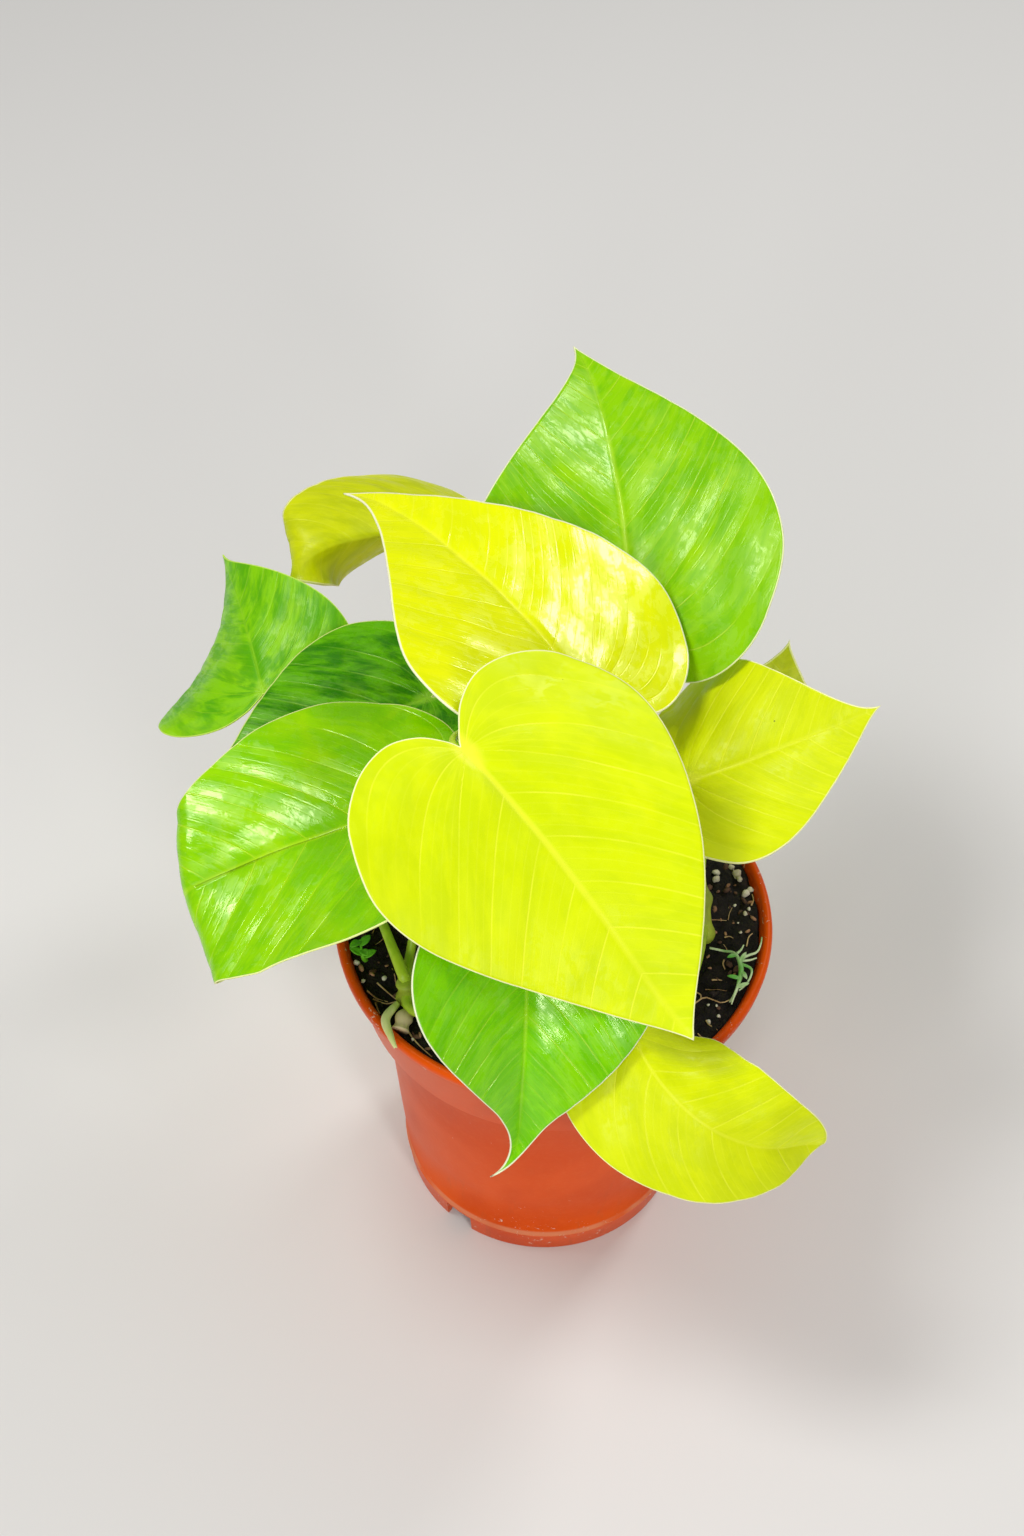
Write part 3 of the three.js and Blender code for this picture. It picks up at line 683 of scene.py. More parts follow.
def make_blade(leaf):
    def rule(u, ring):
        x, y = flat_place(leaf, u, ring)
        return in_frame(in_plant(leaf, blade_surface(leaf, x, y)))

    def plan(u, ring):
        x, y = flat_place(leaf, u, ring)
        width = side_of(leaf, "width", y >= 0)
        return np.stack([x / leaf["length"], y / width, margin_distance(leaf, x, y)], 1)

    def veins(u, ring):
        return vein_map(leaf, *flat_place(leaf, u, ring))

    finer = 2 if "tuck" in leaf else 1
    maps = {"leaf_plan": plan, "leaf_veins": veins}
    blade = bent_grid(leaf["name"] + "_blade", AROUND * finer, RINGS * finer, rule, maps)
    thicken(blade, BLADE_THICKNESS)
    place_piece(blade, LEAF_FINISHES[leaf["finish"]], leaf["slot"], leaf["name"])


# %% [markdown]
# ## The leaf stalks
#
# A leaf stalk is a smooth round stem that leaves its vine, climbs towards the light
# and runs on under the blade as the midrib. Where it meets the blade a flat join would
# look glued, so the tube here goes on along the underside of the midrib and thins to
# nothing, as the real one does. It could be a curve with a bevel, but a tube on a bent
# grid gives the swollen foot and the taper at once.

# %% Vines
VINES = {
    "vine_left": (3.0, [(-35.8, -31.2, 93), (-37.5, -29.5, 105), (-39, -27.5, 117)]),
    "vine_right": (3.2, [(41, -8, 91), (40.6, -5.5, 104), (40.3, -1.5, 112.5), (38.6, 6, 119.5),
                         (37.6, 9.5, 123)]),
    "vine_back": (3.4, [(0, 17, 88), (2, 20, 105), (5, 23, 124)]),
}


def stalk_line(leaf):
    """The stalk's path from inside its vine to the notch, then along the midrib."""
    vine = smooth_curve(VINES[leaf["vine"]][1], 101)[50:97]
    first = np.array(leaf["stalk"][0], float)
    foot = vine[np.argmin(np.linalg.norm(vine - first, axis=1))]
    under_notch = blade_point(leaf, np.array([2.2]), np.array([0.0])) - [0, 0, 1.4]
    end = in_plant(leaf, under_notch)[0]
    before = in_plant(leaf, np.array([[-3.5, 0, -2.2]]))[0]
    free = smooth_curve([foot, *leaf["stalk"], before, end], 46)
    reach = leaf.get("tuck", 0.8 * leaf["length"])
    x = np.linspace(4.0, reach, 26)
    sink = 0.15 + 0.85 * (1 - 0.85 * (x - 4) / (reach - 4))
    under = blade_surface(leaf, x, 0 * x) - blade_up(leaf, x, 0 * x) * sink[:, None]
    under = in_plant(leaf, under)
    return np.vstack([free, under]), len(free) / (len(free) + len(under))


def make_stalk(leaf):
    line, joint = stalk_line(leaf)

    def radius_at(s):
        if s < joint:
            foot = 0.35 * math.exp(-((s / 0.05) ** 2))
            return 1.35 + foot - 0.4 * (s / joint)
        return 0.95 * (1 - 0.85 * (s - joint) / (1 - joint))

    stalk = tube(leaf["name"] + "_stalk", line, radius_at, sides=16)
    place_piece(stalk, STALK_FINISH, "green_stem", leaf["name"])


# %% Stem finish
def stem_finish(name, base, shade, gloss):
    """Skin in clouds of two colours, with a fine grain along its height."""
    material, n = new_finish(name)
    where = n.here()
    blotch = n.noise(where, 90.0, 3.0, 0.6, 0.5)
    still = (0, 0, 0)
    fibre = n.noise(n.made("Mapping", where, still, still, (1.0, 1.0, 0.25)), 900.0, 2.0)
    skin = n.mix(n.ramp(blotch, 0.4, 0.65), colour(*base), colour(*shade))
    n.dress(skin, n.ramp(blotch, 0.3, 0.7, gloss, gloss + 0.12), fibre, 0.00006, {})
    return material


STALK_FINISH = stem_finish("stalk_skin", (194, 224, 52), (166, 204, 40), 0.38)

# %% [markdown]
# ## Eleven leaves
#
# The leaves differ in age and in light. The new ones are an almost pure lemon yellow,
# the older ones lime to mid green, and the hidden one at the left darker still. Each
# row holds the angles that bend the flat heart, the stalk's way up, and the finish.

# %% Finishes
# The colours, then the numbers, then the relief in metres and the shine. The fifth colour is the
# painted highlight along the margin
LEAF_FINISH_ROWS = {
    "lemon_leaf": (
        [(220, 238, 0), (206, 228, 0), (234, 246, 0), (246, 250, 60), (254, 254, 190)],
        (0.36, 0.6, 0.7, 0.3, 0.3), 10e-5, 0.25),
    "gold_leaf": (
        [(234, 242, 0), (220, 232, 0), (246, 248, 0), (250, 250, 70), (254, 252, 210)],
        (0.14, 0.45, 0.6, 1.7, 0.42), 20e-5, 0.5),
    "lemon_leaf_right": (
        [(218, 232, 0), (202, 220, 0), (232, 242, 0), (240, 246, 60), (254, 254, 180)],
        (0.34, 0.5, 0.6, 2.9, 0.26), 16e-5, 0.25),
    "lime_leaf_top": (
        [(144, 208, 0), (112, 188, 0), (178, 224, 10), (196, 232, 60), (244, 250, 190)],
        (0.2, 0.55, 0.8, 4.1, 0.3), 30e-5, 0.4),
    "lime_leaf_left": (
        [(146, 212, 0), (116, 192, 0), (176, 222, 0), (190, 228, 40), (240, 250, 160)],
        (0.12, 0.55, 0.8, 5.3, 0.24), 30e-5, 0.6),
    "green_leaf_low": (
        [(130, 212, 0), (100, 190, 0), (158, 222, 6), (180, 226, 50), (246, 252, 210)],
        (0.13, 0.5, 0.7, 6.7, 0.26), 30e-5, 0.6),
    "green_leaf_far": (
        [(134, 206, 0), (84, 170, 0), (164, 218, 10), (156, 214, 30), (200, 236, 90)],
        (0.3, 0.4, 0.9, 7.9, 0.3), 20e-5, 0.3),
    "green_leaf_dark": (
        [(98, 178, 0), (48, 128, 0), (128, 194, 6), (150, 206, 50), (226, 240, 140)],
        (0.24, 0.5, 1, 8.8, 0.3), 20e-5, 0.4),
    "olive_leaf": (
        [(208, 218, 0), (182, 196, 0), (228, 234, 20), (226, 232, 60), (252, 252, 170)],
        (0.34, 0.3, 0.6, 9.4, 0.6), 12e-5, 0.3),
}
LEAF_FINISHES = {name: leaf_finish(name, *row) for name, row in LEAF_FINISH_ROWS.items()}
print("leaf finishes:", *LEAF_FINISHES)

# %% The leaves' own numbers
# aim is yaw, pitch and roll. sweep is the droop and hook of the midrib, its bend to the
# left and its twist. full, fold, curl and width hold the left half, then the right.
LEAVES = [
    dict(name="leaf_front", vine="vine_back", slot="leaf_yellow", finish="lemon_leaf",
         notch=(-24.5, -2, 181), length=93, width=(49, 45), full=(0.85, 0.97), lobe=0.99,
         aim=(-40, -23, -3), fold=(7, 0), curl=(-16, -9), sweep=(-21, 21, -2, 33),
         stalk=[(-1, 21, 117), (-8, 26, 140), (-24, 14, 170)]),
    dict(name="leaf_upper", vine="vine_back", slot="leaf_yellow", finish="gold_leaf",
         notch=(6, 36, 164), length=92.5, width=(47, 44), full=(1.25, 1.11), lobe=1.09,
         aim=(130, 20, 18), fold=(9, 4), curl=(-8, 3), sweep=(-28, -12, 3, -16), drip=0.05,
         stalk=[(7, 26, 122), (12, 27, 140), (13, 29, 156)]),
    dict(name="leaf_top", vine="vine_back", slot="leaf_green", finish="lime_leaf_top",
         notch=(19.5, 74.5, 149.5), length=93, width=(47, 47), full=(1.06, 1.13), lobe=1.31,
         aim=(93, 30, 0), fold=(9, 31), curl=(5, 0), sweep=(-28, -1, 14, 15), tip_bend=8,
         drip=0.05, stalk=[(8, 26, 118), (17, 40, 132), (20, 62, 144)]),
    dict(name="leaf_right", vine="vine_right", slot="leaf_yellow", finish="lemon_leaf_right",
         notch=(35.5, 26, 138.5), length=56, width=(39, 32), full=(1.29, 1.11), lobe=1,
         aim=(9, 23, 5), fold=(5, 12), curl=(-45, 0), sweep=(3, 11, 1, 42),
         stalk=[(36.2, 13.5, 122), (33.3, 18.5, 128), (31, 23, 133)]),
    dict(name="leaf_left", vine="vine_left", slot="leaf_green", finish="lime_leaf_left",
         notch=(-38.5, -1, 157), length=91, width=(38, 39), full=(0.42, 0.97), lobe=1.23,
         aim=(196, -7, 4), fold=(9, 12), fold_end=(-1, 15), curl=(5, -12),
         sweep=(-19, 1, 4, -25), tuck=60, lean=0.31,
         stalk=[(-39, -22, 113), (-38, -15, 117), (-33, 0, 147)]),
    dict(name="leaf_bottom", vine="vine_left", slot="leaf_green", finish="green_leaf_low",
         notch=(-7.5, -36, 146.5), length=58, width=(34.5, 32), full=(1.12, 1.37), lobe=1,
         aim=(-88, -35, -6), fold=(25, 13), fold_end=(36, 28), curl=(-45, 8),
         sweep=(-49, 28, 1, 0), tip_bend=-21, drip=0.16,
         stalk=[(-38.3, -33, 113.2), (-34, -37, 116), (-22, -33, 124), (-10, -26, 137)]),
    dict(name="leaf_low_right", vine="vine_right", slot="leaf_yellow", finish="lemon_leaf_right",
         notch=(20, -50, 129), length=71, width=(24, 25.5), full=(0.44, 0.73), lobe=1,
         aim=(-66, -22, -13), fold=(-13, -39), fold_end=(36, 23), curl=(-46, -17),
         sweep=(-20, 3, 103, 49), tip_bend=-34,
         stalk=[(40.4, -7, 114), (36, -27, 119), (26, -44.5, 124.5)]),
    dict(name="leaf_far_left", vine="vine_left", slot="leaf_green", finish="green_leaf_far",
         notch=(-86.5, 74, 117), length=54, width=(37, 30), full=(1.15, 1.14), lobe=0.81,
         aim=(106, 14, -13), fold=(-14, -6), curl=(0, -12), sweep=(-19, 11, 8, -57),
         stalk=[(-42.2, -20.4, 118.2), (-54, 8, 119), (-76, 48, 115)]),
    dict(name="leaf_curled", vine="vine_back", slot="leaf_yellow", finish="olive_leaf",
         notch=(-28.5, 129.5, 126), length=61, width=(31, 35.5), full=(0.55, 0.38), lobe=1.01,
         aim=(193, 28, 12), fold=(-148, 23), fold_end=(-49, 16), curl=(-56, -46),
         sweep=(-39, -56, 10, -9), tip_bend=-62,
         stalk=[(-1, 29, 115), (-8, 62, 121), (-19, 106, 126)]),
    dict(name="leaf_mid_left", vine="vine_back", slot="leaf_dark_green",
         finish="green_leaf_dark", notch=(-37.5, 61.5, 130), length=71, width=(34, 35),
         full=(1, 1.02), lobe=1, aim=(204, -2, 1), fold=(5, 6), curl=(-6, -8),
         sweep=(-18, 3, 2, -6), stalk=[(-3, 26, 112), (-16, 42, 118), (-31, 62, 126)]),
    dict(name="leaf_small", vine="vine_right", slot="leaf_yellow", finish="olive_leaf",
         notch=(55, 43.5, 124), length=49, width=(22, 22), full=(1.2, 1.1), lobe=0.99,
         aim=(74, 5, 3), fold=(-1, -4), curl=(-8, -12), sweep=(-5, 18, 2, 0),
         stalk=[(39.8, 11, 117.6), (41.8, 22, 119), (51, 36, 122.6)]),
]

# %% Make the leaves
for leaf in LEAVES:
    make_blade(leaf)
    make_stalk(leaf)

# %% [markdown]
# ## Vine stems, sheath and seedlings
#
# The vines are short jointed stems: each joint is a swollen ring where a leaf stalk
# leaves, and the green skin is dulled by dry scale. The sheath is the papery skin that
# a young leaf leaves behind when it opens. Two seedlings have come up in the soil.


# %% Jointed stems
VINE_FINISH = stem_finish("vine_skin", (176, 196, 56), (146, 164, 48), 0.5)
for name, (radius, line) in VINES.items():
    def vine_radius(s, radius=radius):
        joints = 0.35 * math.cos(s * math.pi * 4) ** 4
        end = min(1, (1 - s) * 14 + 0.25)
        return radius * (0.86 + joints) * end**0.5

    piece = tube(name + "_stem", smooth_curve(line, 61), vine_radius, sides=28)
    place_piece(piece, VINE_FINISH, "green_stem", name)


# %% Papery sheath
SHEATH_LINE = [(-41.2, -32, 112.8), (-43.8, -37.5, 114), (-42.2, -43, 114), (-40.7, -46.6, 113.6)]
SHEATH_STEPS = 40


def make_sheath():
    line = smooth_curve(SHEATH_LINE, SHEATH_STEPS + 1)
    forward = unit(np.gradient(line, axis=0))
    across = unit(np.cross(forward, [0.2, 0.3, 1.0]))
    depth = np.cross(across, forward)

    def rule(u, v):
        step = np.rint(v * SHEATH_STEPS).astype(int)
        radius = 0.3 + 0.8 * np.sin(math.pi * (0.2 + 0.78 * step / SHEATH_STEPS))
        a = (u - 0.5) * 1.25 * math.pi
        spread = across[step] * (np.sin(a) * radius)[:, None]
        spread += depth[step] * ((np.cos(a) - 0.5) * radius)[:, None]
        return in_frame(line[step] + spread)

    piece = bent_grid("sheath_left_skin", 16, SHEATH_STEPS, rule)
    thicken(piece, 0.25)
    return piece


SHEATH_FINISH = stem_finish("dry_sheath", (228, 232, 160), (196, 206, 90), 0.5)
place_piece(make_sheath(), SHEATH_FINISH, "dry_sheath", "sheath_left")

# %% A cut stub beside the left vine
stub_line = smooth_curve([(-38.4, -34.6, 111.6), (-39.2, -36.4, 112), (-40, -39.6, 111.2)], 13)
stub = tube("sheath_left_stub", stub_line, lambda s: 2.2 * (1 - 0.12 * math.cos(s * 9)), 20)
STUB_FINISH = stem_finish("dry_stub", (214, 196, 150), (170, 142, 96), 0.6)
place_piece(stub, STUB_FINISH, "dry_sheath", "sheath_left")

# %% Seedlings
WEED_FINISHES = {
    "weed_left": stem_finish("weed_skin", (120, 206, 36), (90, 176, 24), 0.45),
    "weed_right": stem_finish("weed_skin_pale", (206, 226, 176), (96, 178, 60), 0.45),
}
# Each seedling: its leaves' size, where the first leaf stands, its seed for the random
# turns, its stem and its side shoots
WEEDS = [
    ("weed_left", (3.8, 2.4), 0.6, 5,
     [(-48.5, -14.5, 103.5), (-50.3, -15.6, 108), (-51.4, -16, 111.7), (-52.3, -12.5, 114)]),
    ("weed_right", (3.4, 1.3), 0.38, 11,
     [(45.5, -24.5, 103.5), (47.2, -25.6, 108), (48.6, -24.8, 111.4), (49.8, -21.5, 112),
      (50.6, -16.5, 112.2), (49, -12, 112.4), (46, -11.2, 112.2), (42.3, -10.2, 112)],
     [(49.7, -12.1, 112.5), (50.7, -11.3, 113), (51.5, -9.9, 113.4)],
     [(50.6, -13.8, 112.4), (52.9, -12.5, 112.4), (55.1, -11.5, 112.6), (56.3, -8.6, 112.9),
      (56.6, -6.6, 112.7)],
     [(50.6, -14.4, 112.2), (53.1, -14, 112.2), (55, -13.2, 112.2)],
     [(50.8, -15.5, 112.3), (53.3, -17, 112.4), (52.9, -19.9, 112.3), (51, -22.8, 112),
      (49.8, -23.8, 111.8)],
     [(49.2, -23.6, 111.6), (48.4, -25.6, 111.2), (47.8, -27.4, 110.3)]),
]


def leaflet(bm, place, length, width, yaw, pitch):
    """A small oval leaf, its edge pulled to a point and its middle sunk."""
    made = bmesh.ops.create_grid(bm, x_segments=8, y_segments=6, size=0.5)["verts"]
    for v in made:
        s, t = v.co.x + 0.5, v.co.y * 2
        half = width / 2 * math.sin(math.pi * min(s * 0.96 + 0.04, 1)) ** 0.7
        v.co = Vector((s * length, t * half, 0.25 * abs(t) * half - 0.25 * s * s * length))
    turn = Matrix.Rotation(math.radians(yaw), 4, "Z")
    turn = turn @ Matrix.Rotation(-math.radians(pitch), 4, "Y")
    bmesh.ops.transform(bm, matrix=Matrix.Translation(place) @ turn, verts=made)


def weed_radius(s):
    return 0.32 + 0.42 * math.exp(-(((s - 0.55) / 0.16) ** 2))


def make_weed(name, size, first_leaf, seed, line, *shoots):
    rng = random.Random(seed)
    path = smooth_curve(line, 61)
    stem = tube(name + "_plant", path, weed_radius, sides=10)
    leaves = bmesh.new()
    for i in range(5):
        place = path[int(60 * (first_leaf + 0.09 * i))]
        yaw, pitch = 137 * i + 40 * rng.random(), 10 + 30 * rng.random()
        leaflet(leaves, Vector(place), *size, yaw, pitch)
    bmesh.ops.remove_doubles(leaves, verts=leaves.verts, dist=0.001)
    bmesh.ops.solidify(leaves, geom=leaves.faces[:], thickness=-0.25)
    bmesh.ops.recalc_face_normals(leaves, faces=leaves.faces)
    bmesh.ops.transform(leaves, matrix=FROM_AXIS, verts=leaves.verts)
    leaves.from_mesh(stem.data)
    for shoot in shoots:
        twig = tube("shoot", smooth_curve(shoot, 15), lambda s: 0.42 - 0.24 * s, sides=8)
        leaves.from_mesh(twig.data)
        bpy.data.objects.remove(twig)
    for face in leaves.faces:
        face.smooth = True
    leaves.to_mesh(stem.data)
    leaves.free()
    return stem


for weed in WEEDS:
    place_piece(make_weed(*weed), WEED_FINISHES[weed[0]], "weed_green", weed[0])

# %% [markdown]
# ## The pot
#
# The pot is one thin moulding: a rounded lip, a collar that flares, a slight step down
# to a plain tapering body, and a foot ring with three notches that let water out. A
# round moulding is a profile spun about the pot's axis, which is how its mould was
# cut as well. The notches and the drain holes are then cut through it.

# %% Pot profile and spin
RIM, POT_HEIGHT, FOOT = 60.0, 112.0, 41.0
LIP_BOTTOM, COLLAR_BOTTOM = 108.0, 85.5
COLLAR_TOP, COLLAR_LOW, BODY_TOP = 57.5, 53.4, 48.0
WALL, FLOOR_LOW, FLOOR_TOP, FOOT_LINE = 1.3, 8.0, 9.5, 9.0


def body_radius(z):
    return FOOT + (BODY_TOP - FOOT) * z / COLLAR_BOTTOM


STEP = body_radius(FOOT_LINE)
INSIDE = body_radius(FLOOR_TOP) - WALL


def near(radius, height, *steps):
    """Corners of the profile that stand a few steps out and up from one place."""
    return [(radius + out, height + up) for out, up in steps]


POT_PROFILE = [
    *near(FOOT, FLOOR_LOW, (-FOOT, 0), (-6, 0), (-3, -0.2)),
    *near(FOOT, 0, (-1.8, 0.5), (-1.5, 0), (-0.3, 0), (0, 0.35)),
    *near(STEP, FOOT_LINE, (0.05, -1.2), (0.35, -0.3), (0.3, 0), (-0.15, 0.5)),
    (body_radius(30), 30), (body_radius(60), 60),
    *near(BODY_TOP, COLLAR_BOTTOM, (0, -0.3), (0.3, 0.1)),
    *near(COLLAR_LOW, COLLAR_BOTTOM, (-0.15, 0.5), (0.1, 1.1)),
    *near(COLLAR_TOP, LIP_BOTTOM, (-0.1, -1.0), (0.5, -0.4)),
    *near(RIM, LIP_BOTTOM, (-0.9, -0.1), (-0.3, 0.3)),
    *near(RIM, POT_HEIGHT, (0, -1.6), (-0.15, -0.8), (-0.6, -0.25), (-1.3, 0), (-2, -0.2),
          (-2.5, -0.7), (-2.8, -1.6)),
    (COLLAR_TOP - WALL - 0.1, LIP_BOTTOM - 0.5),
    (COLLAR_LOW - WALL, COLLAR_BOTTOM + 1.9), (BODY_TOP - WALL, COLLAR_BOTTOM + 1.3),
    *near(INSIDE, FLOOR_TOP, (0, 0.8), (-1, 0), (-INSIDE, 0)),
]


def spun(name, profile, steps):
    bm = bmesh.new()
    ring = [bm.verts.new((r * MM, 0, z * MM)) for r, z in profile]
    edges = [bm.edges.new((a, b)) for a, b in zip(ring, ring[1:])]
    bmesh.ops.spin(bm, geom=ring + edges, axis=(0, 0, 1), cent=(0, 0, 0), angle=2 * math.pi,
                   steps=steps, use_merge=True, use_duplicate=False, use_normal_flip=False)
    bmesh.ops.remove_doubles(bm, verts=bm.verts, dist=1e-6)
    bmesh.ops.recalc_face_normals(bm, faces=bm.faces)
    bmesh.ops.translate(bm, vec=pot_axis, verts=bm.verts)
    return finished(name, bm)


pot = spun("pot_shell", POT_PROFILE, 180)


# %% Cut the notches and the drain holes
def cut(piece, cutter):
    """Takes the cutter's shape out of the piece and keeps the result."""
    knife = piece.modifiers.new("cut", "BOOLEAN")
    knife.operation = "DIFFERENCE"
    knife.solver = "EXACT"
    knife.object = cutter
    bpy.context.view_layer.update()
    seen = piece.evaluated_get(bpy.context.evaluated_depsgraph_get())
    piece.data = bpy.data.meshes.new_from_object(seen)
    piece.modifiers.remove(knife)
    bpy.data.objects.remove(cutter)


NOTCH_ANGLES = (233.7, 353.7, 113.7)
NOTCH_SIZE = (6, 8.9, 12.5)
HOLE_COUNT, HOLE_RADIUS, HOLE_RING = 6, 4, 24


def turned(verts, angle, place):
    """Moves these corners out to a place, then round the pot's axis."""
    bmesh.ops.translate(cutter, vec=place, verts=verts)
    round_axis = Matrix.Rotation(math.radians(angle), 3, "Z")
    bmesh.ops.rotate(cutter, cent=(0, 0, 0), matrix=round_axis, verts=verts)


cutter = bmesh.new()
for angle in NOTCH_ANGLES:
    box = bmesh.ops.create_cube(cutter, size=1)["verts"]
    bmesh.ops.scale(cutter, vec=NOTCH_SIZE, verts=box)
    turned(box, angle, (FOOT, 0, 1.25))
for i in range(HOLE_COUNT):
    hole = bmesh.ops.create_cone(cutter, segments=32, radius1=HOLE_RADIUS, radius2=HOLE_RADIUS,
                                 depth=6, cap_ends=True)["verts"]
    turned(hole, 360 / HOLE_COUNT * i, (HOLE_RING, 0, FLOOR_TOP - 1))
bmesh.ops.transform(cutter, matrix=FROM_AXIS, verts=cutter.verts)
bmesh.ops.recalc_face_normals(cutter, faces=cutter.faces)
cut(pot, finished("pot_cutter", cutter))
pot.data.set_sharp_from_angle(angle=math.radians(50))

# %% [markdown]
# The pot is satin terracotta-coloured plastic. It is not one flat colour: the plastic
# has faint clouds, tap water has left pale specks of lime on the lip, the collar and
# the foot, the wall has fine scuffs, and soil dust sits in the step round the foot.

# %% Pot finish
def pot_finish():
    material, n = new_finish("terracotta_plastic")
    where = n.here()
    height = n.split(where)[2]
    cloud = n.noise(where, 22.0, 3.0, 0.5, 0.4)
    fine = n.noise(where, 600.0, 3.0, 0.6)
    base = n.mix(n.ramp(cloud, 0.35, 0.65), colour(226, 82, 0), colour(210, 70, 0))
    base = n.mix(n.times(n.ramp(fine, 0.45, 0.75), 0.12), base, colour(228, 116, 60))
    # Lime specks: spots where the noises are high, mostly on the lip and the foot
    spot = n.noise(where, 330.0, 4.0, 0.7, 1.5)
    region = n.noise(where, 42.0, 2.0, 0.5, 0.8)
    near_foot = n.times(n.ramp(height, 0.006, 0.022, 1, 0), 0.9)
    place = n.math("MAXIMUM", n.ramp(height, 0.100, 0.110), near_foot)
    place = n.plus(n.times(place, 0.09), n.times(n.ramp(region, 0.45, 0.75), 0.07))
    lime = n.times(n.ramp(n.plus(spot, place), 0.72, 0.76), 0.7)
    base = n.mix(lime, base, colour(236, 206, 186))
    still = (0, 0, 0)
    scuff = n.noise(n.made("Mapping", where, still, still, (1, 1, 0.2)), 240.0, 4.0, 0.7)
    dust = n.times(n.ramp(scuff, 0.55, 0.75), n.ramp(height, 0.0, 0.05, 0.3, 0.04))
    base = n.mix(dust, base, colour(150, 84, 56))
    # Soil dust that stays in the line round the foot
    foot_line = n.times(n.ramp(height, 0.0082, 0.0092), n.ramp(height, 0.0098, 0.0115, 1, 0))
    line_dust = n.times(foot_line, n.ramp(region, 0.35, 0.6, 0.1, 0.6))
    base = n.mix(line_dust, base, colour(216, 150, 112))
    rough = n.plus(n.ramp(cloud, 0.3, 0.7, 0.36, 0.46), n.times(lime, 0.4))
    n.dress(base, rough, n.plus(n.times(fine, 0.5), lime), 0.00008,
            {"IOR": 1.49, "Specular IOR Level": 0.25, "Specular Tint": (1, 0.6, 0.3, 1)})
    return material


place_piece(pot, pot_finish(), "terracotta_plastic", "pot")

# %% [markdown]
# ## Potting soil
#
# The soil is dark peat with bark, white grains of perlite and pale root threads. The
# body of it is a spun shape whose top is raised and sunk by fine noise. The loose bits
# on it are small closed shapes pressed a little way in, because grains drawn only in
# the colour would look flat beside the stems.


# %% Soil body
SOIL_LEVEL, SOIL_ROUGHNESS = 109.3, 1.2
SOIL_TOP_RADIUS = COLLAR_TOP - WALL + 0.2
SOIL_RINGS = 90


def soil_height(x, y):
    """Height of the soil's slow rise and fall, in millimetres."""
    coarse = np.sin(x * 0.21 + 1.3) * np.cos(y * 0.17 - 0.4)
    middle = np.sin(x * 0.47 - y * 0.38 + 2.1)
    fine = np.sin(x * 0.93 + 0.7) * np.sin(y * 1.07 + 1.9)
    return SOIL_LEVEL + SOIL_ROUGHNESS * (0.5 * coarse + 0.3 * middle + 0.3 * fine)


SOIL_PROFILE = [
    (0, FLOOR_TOP + 0.3), (INSIDE - 0.5, FLOOR_TOP + 0.3),
    (BODY_TOP - WALL - 0.4, COLLAR_BOTTOM + 1.6), (COLLAR_LOW - WALL - 0.4, COLLAR_BOTTOM + 2.4),
    (COLLAR_TOP - WALL - 0.6, 107.6),
]
for ring in range(SOIL_RINGS + 1):
    SOIL_PROFILE.append((SOIL_TOP_RADIUS * (1 - ring / SOIL_RINGS), SOIL_LEVEL))


def crumb(x, y):
    """Height of the crumbly surface over its mean, in millimetres."""
    p = Vector((x, y, 0))
    lump = noise.noise(p * 0.35) * 0.6 + noise.noise(p * 0.9) * 0.55
    grit = abs(noise.noise(p * 2.3)) * 0.7
    return lump + grit - 0.2


soil = spun("soil_top", SOIL_PROFILE, 260)
for v in soil.data.vertices:
    x, y = (v.co.x - pot_axis.x) / MM, (v.co.y - pot_axis.y) / MM
    if v.co.z > (SOIL_LEVEL - 0.1) * MM:
        v.co.z = (soil_height(x, y) + crumb(x, y)) * MM


# %% Soil finish
def soil_finish():
    material, n = new_finish("potting_soil")
    where = n.here()
    lumps = n.noise(where, 260.0, 5.0, 0.7)
    grains = n.noise(where, 1100.0, 4.0, 0.7)
    base = n.mix(n.ramp(lumps, 0.35, 0.7), colour(10, 8, 6), colour(36, 28, 20))
    base = n.mix(n.ramp(grains, 0.66, 0.76), base, colour(96, 76, 54))
    height = n.plus(lumps, n.times(grains, 0.5))
    n.dress(base, 0.7, height, 0.0012, {"Specular IOR Level": 0.3})
    return material


place_piece(soil, soil_finish(), "potting_soil", "soil")

# %% [markdown]
# Potting mix is never one substance. White perlite keeps it airy, bark chips and coir
# threads keep it open, and roots run through it. Each is a small closed shape of a few
# dozen faces, sunk a little into the surface at its own place. Those that lie in the
# two gaps between the leaves have their own places, and the rest are strewn.

# %% Helpers for loose bits
THREAD_LIFT = 0.25
rng = random.Random(20)


def soil_level(x, y):
    return float(soil_height(x, y)) + crumb(x, y)


def add_grain(bm, x, y, size, seed, finer=1):
    """A lump of the given length, width and height in millimetres."""
    rng = random.Random(seed)
    made = bmesh.ops.create_icosphere(bm, subdivisions=finer, radius=0.5)["verts"]
    shift = Vector((seed * 1.7, seed * 0.9, seed * 0.31))
    for v in made:
        v.co *= 1 + 0.4 * noise.noise(v.co * 2.4 + shift)
    turn = Matrix.Rotation(rng.uniform(0, 6.28), 4, "Z")
    turn = turn @ Matrix.Rotation(rng.uniform(-0.4, 0.4), 4, "X")
    place = Matrix.Translation((x, y, soil_level(x, y) + 0.2 * size[2]))
    bmesh.ops.transform(bm, matrix=place @ turn @ Matrix.Diagonal((*size, 1)), verts=made)


def add_thread(bm, flat, thick):
    """A root or fibre that lies over the crumbs along flat points x, y."""
    line = [(x, y, soil_level(x, y) + THREAD_LIFT) for x, y in flat]
    thread = tube("thread", smooth_curve(line, 10), lambda s: thick * (1 - 0.5 * s), sides=5)
    bm.from_mesh(thread.data)
    bpy.data.objects.remove(thread)


def strewn(reach=54.0):
    """A random place on the round surface."""
    far, way = reach * math.sqrt(rng.random()), rng.uniform(0, 2 * math.pi)
    return far * math.cos(way), far * math.sin(way)


